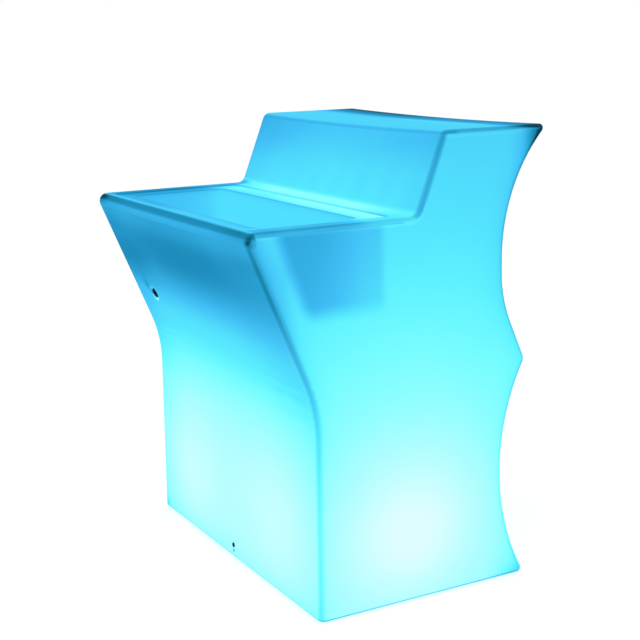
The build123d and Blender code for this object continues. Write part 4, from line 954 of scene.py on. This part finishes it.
# the lamps: a turned tray, a white board, yellow chips and an opal dome
lampSettings = {
    "middleX": 0.226,
    "middleY": -0.015,
    "trayColours": ((0.52, 0.53, 0.54), (0.72, 0.73, 0.74)),
    "trayRings": 9000.0,        # turning marks, as radians for each metre of radius
    "trayRingsShare": 0.12,
    "trayStains": (30.0, 4.0, 0.6),
    "trayPlaces": (0.3, 0.7),
    "trayRough": (0.28, 0.42),
    "trayRelief": (0.00004, 0.3),
    "boardColours": ((0.70, 0.71, 0.69), (0.56, 0.58, 0.56)),
    "boardPlaces": (0.0, 0.9),
    "boardRough": 0.36,
    "boardRelief": (0.00004, 0.5),
    "trackRadii": (0.018, 0.036, 0.054),
    "trackEdge": (0.0022, 0.0016),
    "trackShare": 0.8,
    "speckle": (420.0, 3.0, 0.6),
    "speckleShare": 0.15,
    "chipColours": ((0.50, 0.36, 0.05), (0.78, 0.62, 0.14)),
    "chipPlaces": (0.35, 0.65),
    "chipGrains": (1800.0, 3.0, 0.6),
    "chipRough": 0.3,
    "chipGlow": (0.10, 0.75, 0.95),
    "chipPower": 0.8,
    "domeColour": (0.80, 0.86, 0.87),
    "domeEdge": (0.074, 0.015),
    "domeShare": 0.8,
    "domeClouds": (26.0, 3.0, 0.5),
    "domeCloudsShare": 0.2,
    "domeGlows": ((0.01, 0.16, 0.24), (0.10, 0.62, 0.80), (0.55, 0.95, 1.0)),
    "domePlaces": (0.0, 0.5, 1.0),
    "domePower": 0.7,
    "domeRough": 0.4,
    "domeGrain": (700.0, 2.0),
    "domeRelief": (0.0001, 0.2),
}


def fromMiddle(tree, middle):
    # how far a point is from the lamp's upright axis
    x, y, _ = splitUp(tree, objectPlace(tree, middle=(*middle, 0)))
    return radiusOf(tree, x, y)


def turnedTray(name, lamp, middle):
    material, tree, shader = newMaterial(name)
    rings = calc(tree, "SINE", calc(tree, "MULTIPLY", fromMiddle(tree, middle), lamp["trayRings"]))
    stains = noise(tree, objectPlace(tree), *lamp["trayStains"])
    tone = calc(tree, "MULTIPLY_ADD", rings, lamp["trayRingsShare"], stains)
    paint(tree, shader, tone, lamp["trayPlaces"], lamp["trayColours"])
    roughen(tree, shader, tone, lamp["trayPlaces"], lamp["trayRough"])
    give(shader, {"Metallic": 1.0})
    bump(tree, shader, rings, *lamp["trayRelief"])
    return material


def lampBoard(name, lamp, middle):
    # a white board with ring tracks that show faintly through its lacquer
    material, tree, shader = newMaterial(name)
    radius = fromMiddle(tree, middle)
    tracks = None
    for ring in lamp["trackRadii"]:
        off = calc(tree, "ABSOLUTE", calc(tree, "SUBTRACT", radius, ring))
        track = softStep(tree, off, *lamp["trackEdge"])
        tracks = track if tracks is None else calc(tree, "MAXIMUM", tracks, track)
    speckle = noise(tree, objectPlace(tree), *lamp["speckle"])
    tone = mixOf(tree, speckle, lamp["speckleShare"], tracks, lamp["trackShare"])
    paint(tree, shader, tone, lamp["boardPlaces"], lamp["boardColours"])
    give(shader, {"Roughness": lamp["boardRough"]})
    bump(tree, shader, tracks, *lamp["boardRelief"])
    return material


def lightChips(name, lamp):
    material, tree, shader = newMaterial(name)
    grains = noise(tree, objectPlace(tree), *lamp["chipGrains"])
    paint(tree, shader, grains, lamp["chipPlaces"], lamp["chipColours"])
    give(shader, {"Roughness": lamp["chipRough"], "Emission Color": (*lamp["chipGlow"], 1),
                  "Emission Strength": lamp["chipPower"]})
    return material


def opalDome(name, lamp, middle):
    # opal plastic, brightest over the rings of chips
    material, tree, shader = newMaterial(name)
    share = softStep(tree, fromMiddle(tree, middle), *lamp["domeEdge"])
    cloud = noise(tree, objectPlace(tree), *lamp["domeClouds"])
    tone = mixOf(tree, cloud, lamp["domeCloudsShare"], share, lamp["domeShare"])
    paint(tree, shader, tone, lamp["domePlaces"], lamp["domeGlows"], "Emission Color")
    give(shader, {"Emission Strength": lamp["domePower"], "Base Color": (*lamp["domeColour"], 1),
                  "Roughness": lamp["domeRough"]})
    bump(tree, shader, noise(tree, objectPlace(tree), *lamp["domeGrain"]), *lamp["domeRelief"])
    return material


# circuit boards: lacquer over copper tracks in two directions
circuitFinish = {
    "trackStretches": ((60, 420, 60), (420, 60, 60)),
    "trackEdge": (0.42, 0.36),
    "trackShare": 0.8,
    "weave": (1500.0, 2.0),
    "weaveShare": 0.2,
    "places": (0.05, 0.95),
    "rough": 0.34,
    "relief": (0.00005, 0.5),
}
circuitSettings = {
    "controlLaminate": ((0.010, 0.105, 0.040), (0.026, 0.190, 0.075)),      # lacquer, and lacquer over a track
    "receiverLaminate": ((0.008, 0.045, 0.150), (0.020, 0.090, 0.240)),
}


def circuit(name):
    finish = circuitFinish
    material, tree, shader = newMaterial(name)
    cells = []
    for stretch in finish["trackStretches"]:
        texture = tree.nodes.new("ShaderNodeTexVoronoi")
        texture.distance = "MANHATTAN"
        texture.inputs["Scale"].default_value = 1.0
        tree.links.new(objectPlace(tree, stretch), texture.inputs["Vector"])
        cells.append(softStep(tree, texture.outputs["Distance"], *finish["trackEdge"]))
    tracks = calc(tree, "MAXIMUM", cells[0], cells[1])
    weave = noise(tree, objectPlace(tree), *finish["weave"])
    tone = mixOf(tree, weave, finish["weaveShare"], tracks, finish["trackShare"])
    paint(tree, shader, tone, finish["places"], circuitSettings[name])
    give(shader, {"Roughness": finish["rough"]})
    bump(tree, shader, tracks, *finish["relief"])
    return material


# battery: shrunk sleeves round the cells, fish paper at the ends, clear film over all
wrapFinish = {
    "folds": (1.0, 5.0, 0.65),
    "clouds": (60.0, 3.0),
    "share": 0.5,
    "places": (0.35, 0.65),
    "foldPlaces": (0.3, 0.7),
    "roughSpan": 0.16,
    "relief": (0.0003, 0.4),
}
wrapSettings = {
    "cellSleeves": {"colours": ((0.020, 0.110, 0.240), (0.045, 0.180, 0.350)),
                    "stretch": (20, 300, 300), "rough": 0.30},
    "fishPaper": {"colours": ((0.28, 0.24, 0.16), (0.42, 0.37, 0.27)),
                  "stretch": (400, 90, 400), "rough": 0.6},
    "packFilm": {"colours": ((0.012, 0.070, 0.150), (0.030, 0.120, 0.230)),
                 "stretch": (260, 16, 260), "rough": 0.24},
}


def wrapped(name):
    # film or paper: fine wrinkles across, cloudy colour
    finish, look = wrapFinish, wrapSettings[name]
    material, tree, shader = newMaterial(name)
    folds = noise(tree, objectPlace(tree, look["stretch"]), *finish["folds"])
    cloud = noise(tree, objectPlace(tree), *finish["clouds"])
    tone = mixOf(tree, folds, finish["share"], cloud, finish["share"])
    paint(tree, shader, tone, finish["places"], look["colours"])
    roughen(tree, shader, folds, finish["foldPlaces"], (look["rough"], look["rough"] + finish["roughSpan"]))
    bump(tree, shader, folds, *finish["relief"])
    return material


# the power button shines from within
buttonSettings = {
    "middleX": 0.0,
    "middleZ": 0.023,
    "edge": (0.0024, 0.0006, 0.0, 0.8),
    "grain": (900.0, 2.0),
    "grainShare": 0.2,
    "glows": ((0.10, 0.62, 0.86), (0.45, 0.90, 1.0)),
    "places": (0.0, 0.9),
    "power": 0.7,
    "plastic": (0.10, 0.30, 0.34),
    "rough": 0.22,
}


def litButton(name, button):
    material, tree, shader = newMaterial(name)
    x, _, z = splitUp(tree, objectPlace(tree, middle=(button["middleX"], 0, button["middleZ"])))
    share = softStep(tree, radiusOf(tree, x, z), *button["edge"])
    tone = calc(tree, "MULTIPLY_ADD", noise(tree, objectPlace(tree), *button["grain"]), button["grainShare"], share)
    paint(tree, shader, tone, button["places"], button["glows"], "Emission Color")
    give(shader, {"Emission Strength": button["power"], "Base Color": (*button["plastic"], 1),
                  "Roughness": button["rough"]})
    return material


def dress(material, *names):
    for name in names:
        for slot in nodes[name].material_slots:
            slot.material = material


dress(moulded("whiteFitting"), "drain_body", "drain_nut", "drain_funnel")
# the elbow is black plastic, which also paints shade into the outlet's bore
dress(moulded("blackFitting"), "drain_outlet", "outlet_nut", "drain_elbow")
dress(moulded("jackPlastic"), "charging_jack")
dress(moulded("buttonPlastic"), "button_housing")
dress(moulded("boxPlastic"), "control_box", "control_lid", "battery_cradle")
dress(moulded("socketPlastic"), "control_sockets", "lamp_socket_left", "lamp_socket_right")
dress(moulded("sealRubber"), "drain_gasket", "outlet_gasket", "base_gasket")
dress(moulded("stopperRubber"), "drain_stopper")
dress(moulded("footRubber"), "rubber_feet")
dress(moulded("leadJacket"), "jack_lead", "button_lead", "lamp_lead_left", "lamp_lead_right")
dress(moulded("batteryJacket"), "battery_lead")
dress(brushed("plateAluminium"), "base_plate")
dress(brushed("screwSteel"), "base_plate_screws", "lamp_screws", "control_lid_screws", "fixing_screws")
dress(brushed("strapSteel"), "battery_strap")
dress(brushed("contactBrass"), "jack_contact", "jack_nut", "button_nut")
for sideName, side in (("left", -1), ("right", 1)):
    lampMiddle = (side * lampSettings["middleX"], lampSettings["middleY"])
    dress(turnedTray(sideName + "TrayAluminium", lampSettings, lampMiddle), "lamp_tray_" + sideName)
    dress(lampBoard(sideName + "LampBoard", lampSettings, lampMiddle), "lamp_board_" + sideName)
    dress(opalDome(sideName + "OpalDome", lampSettings, lampMiddle), "lamp_dome_" + sideName)
dress(lightChips("lightChips", lampSettings), "lamp_chips_left", "lamp_chips_right")
dress(circuit("controlLaminate"), "control_board")
dress(circuit("receiverLaminate"), "remote_receiver")
dress(wrapped("cellSleeves"), "battery_cells")
dress(wrapped("fishPaper"), "battery_end_plates")
dress(wrapped("packFilm"), "battery_sleeve")
dress(litButton("litButton", buttonSettings), "power_button")
print("counter: fittings and electrical pieces dressed")

print("counter: done")
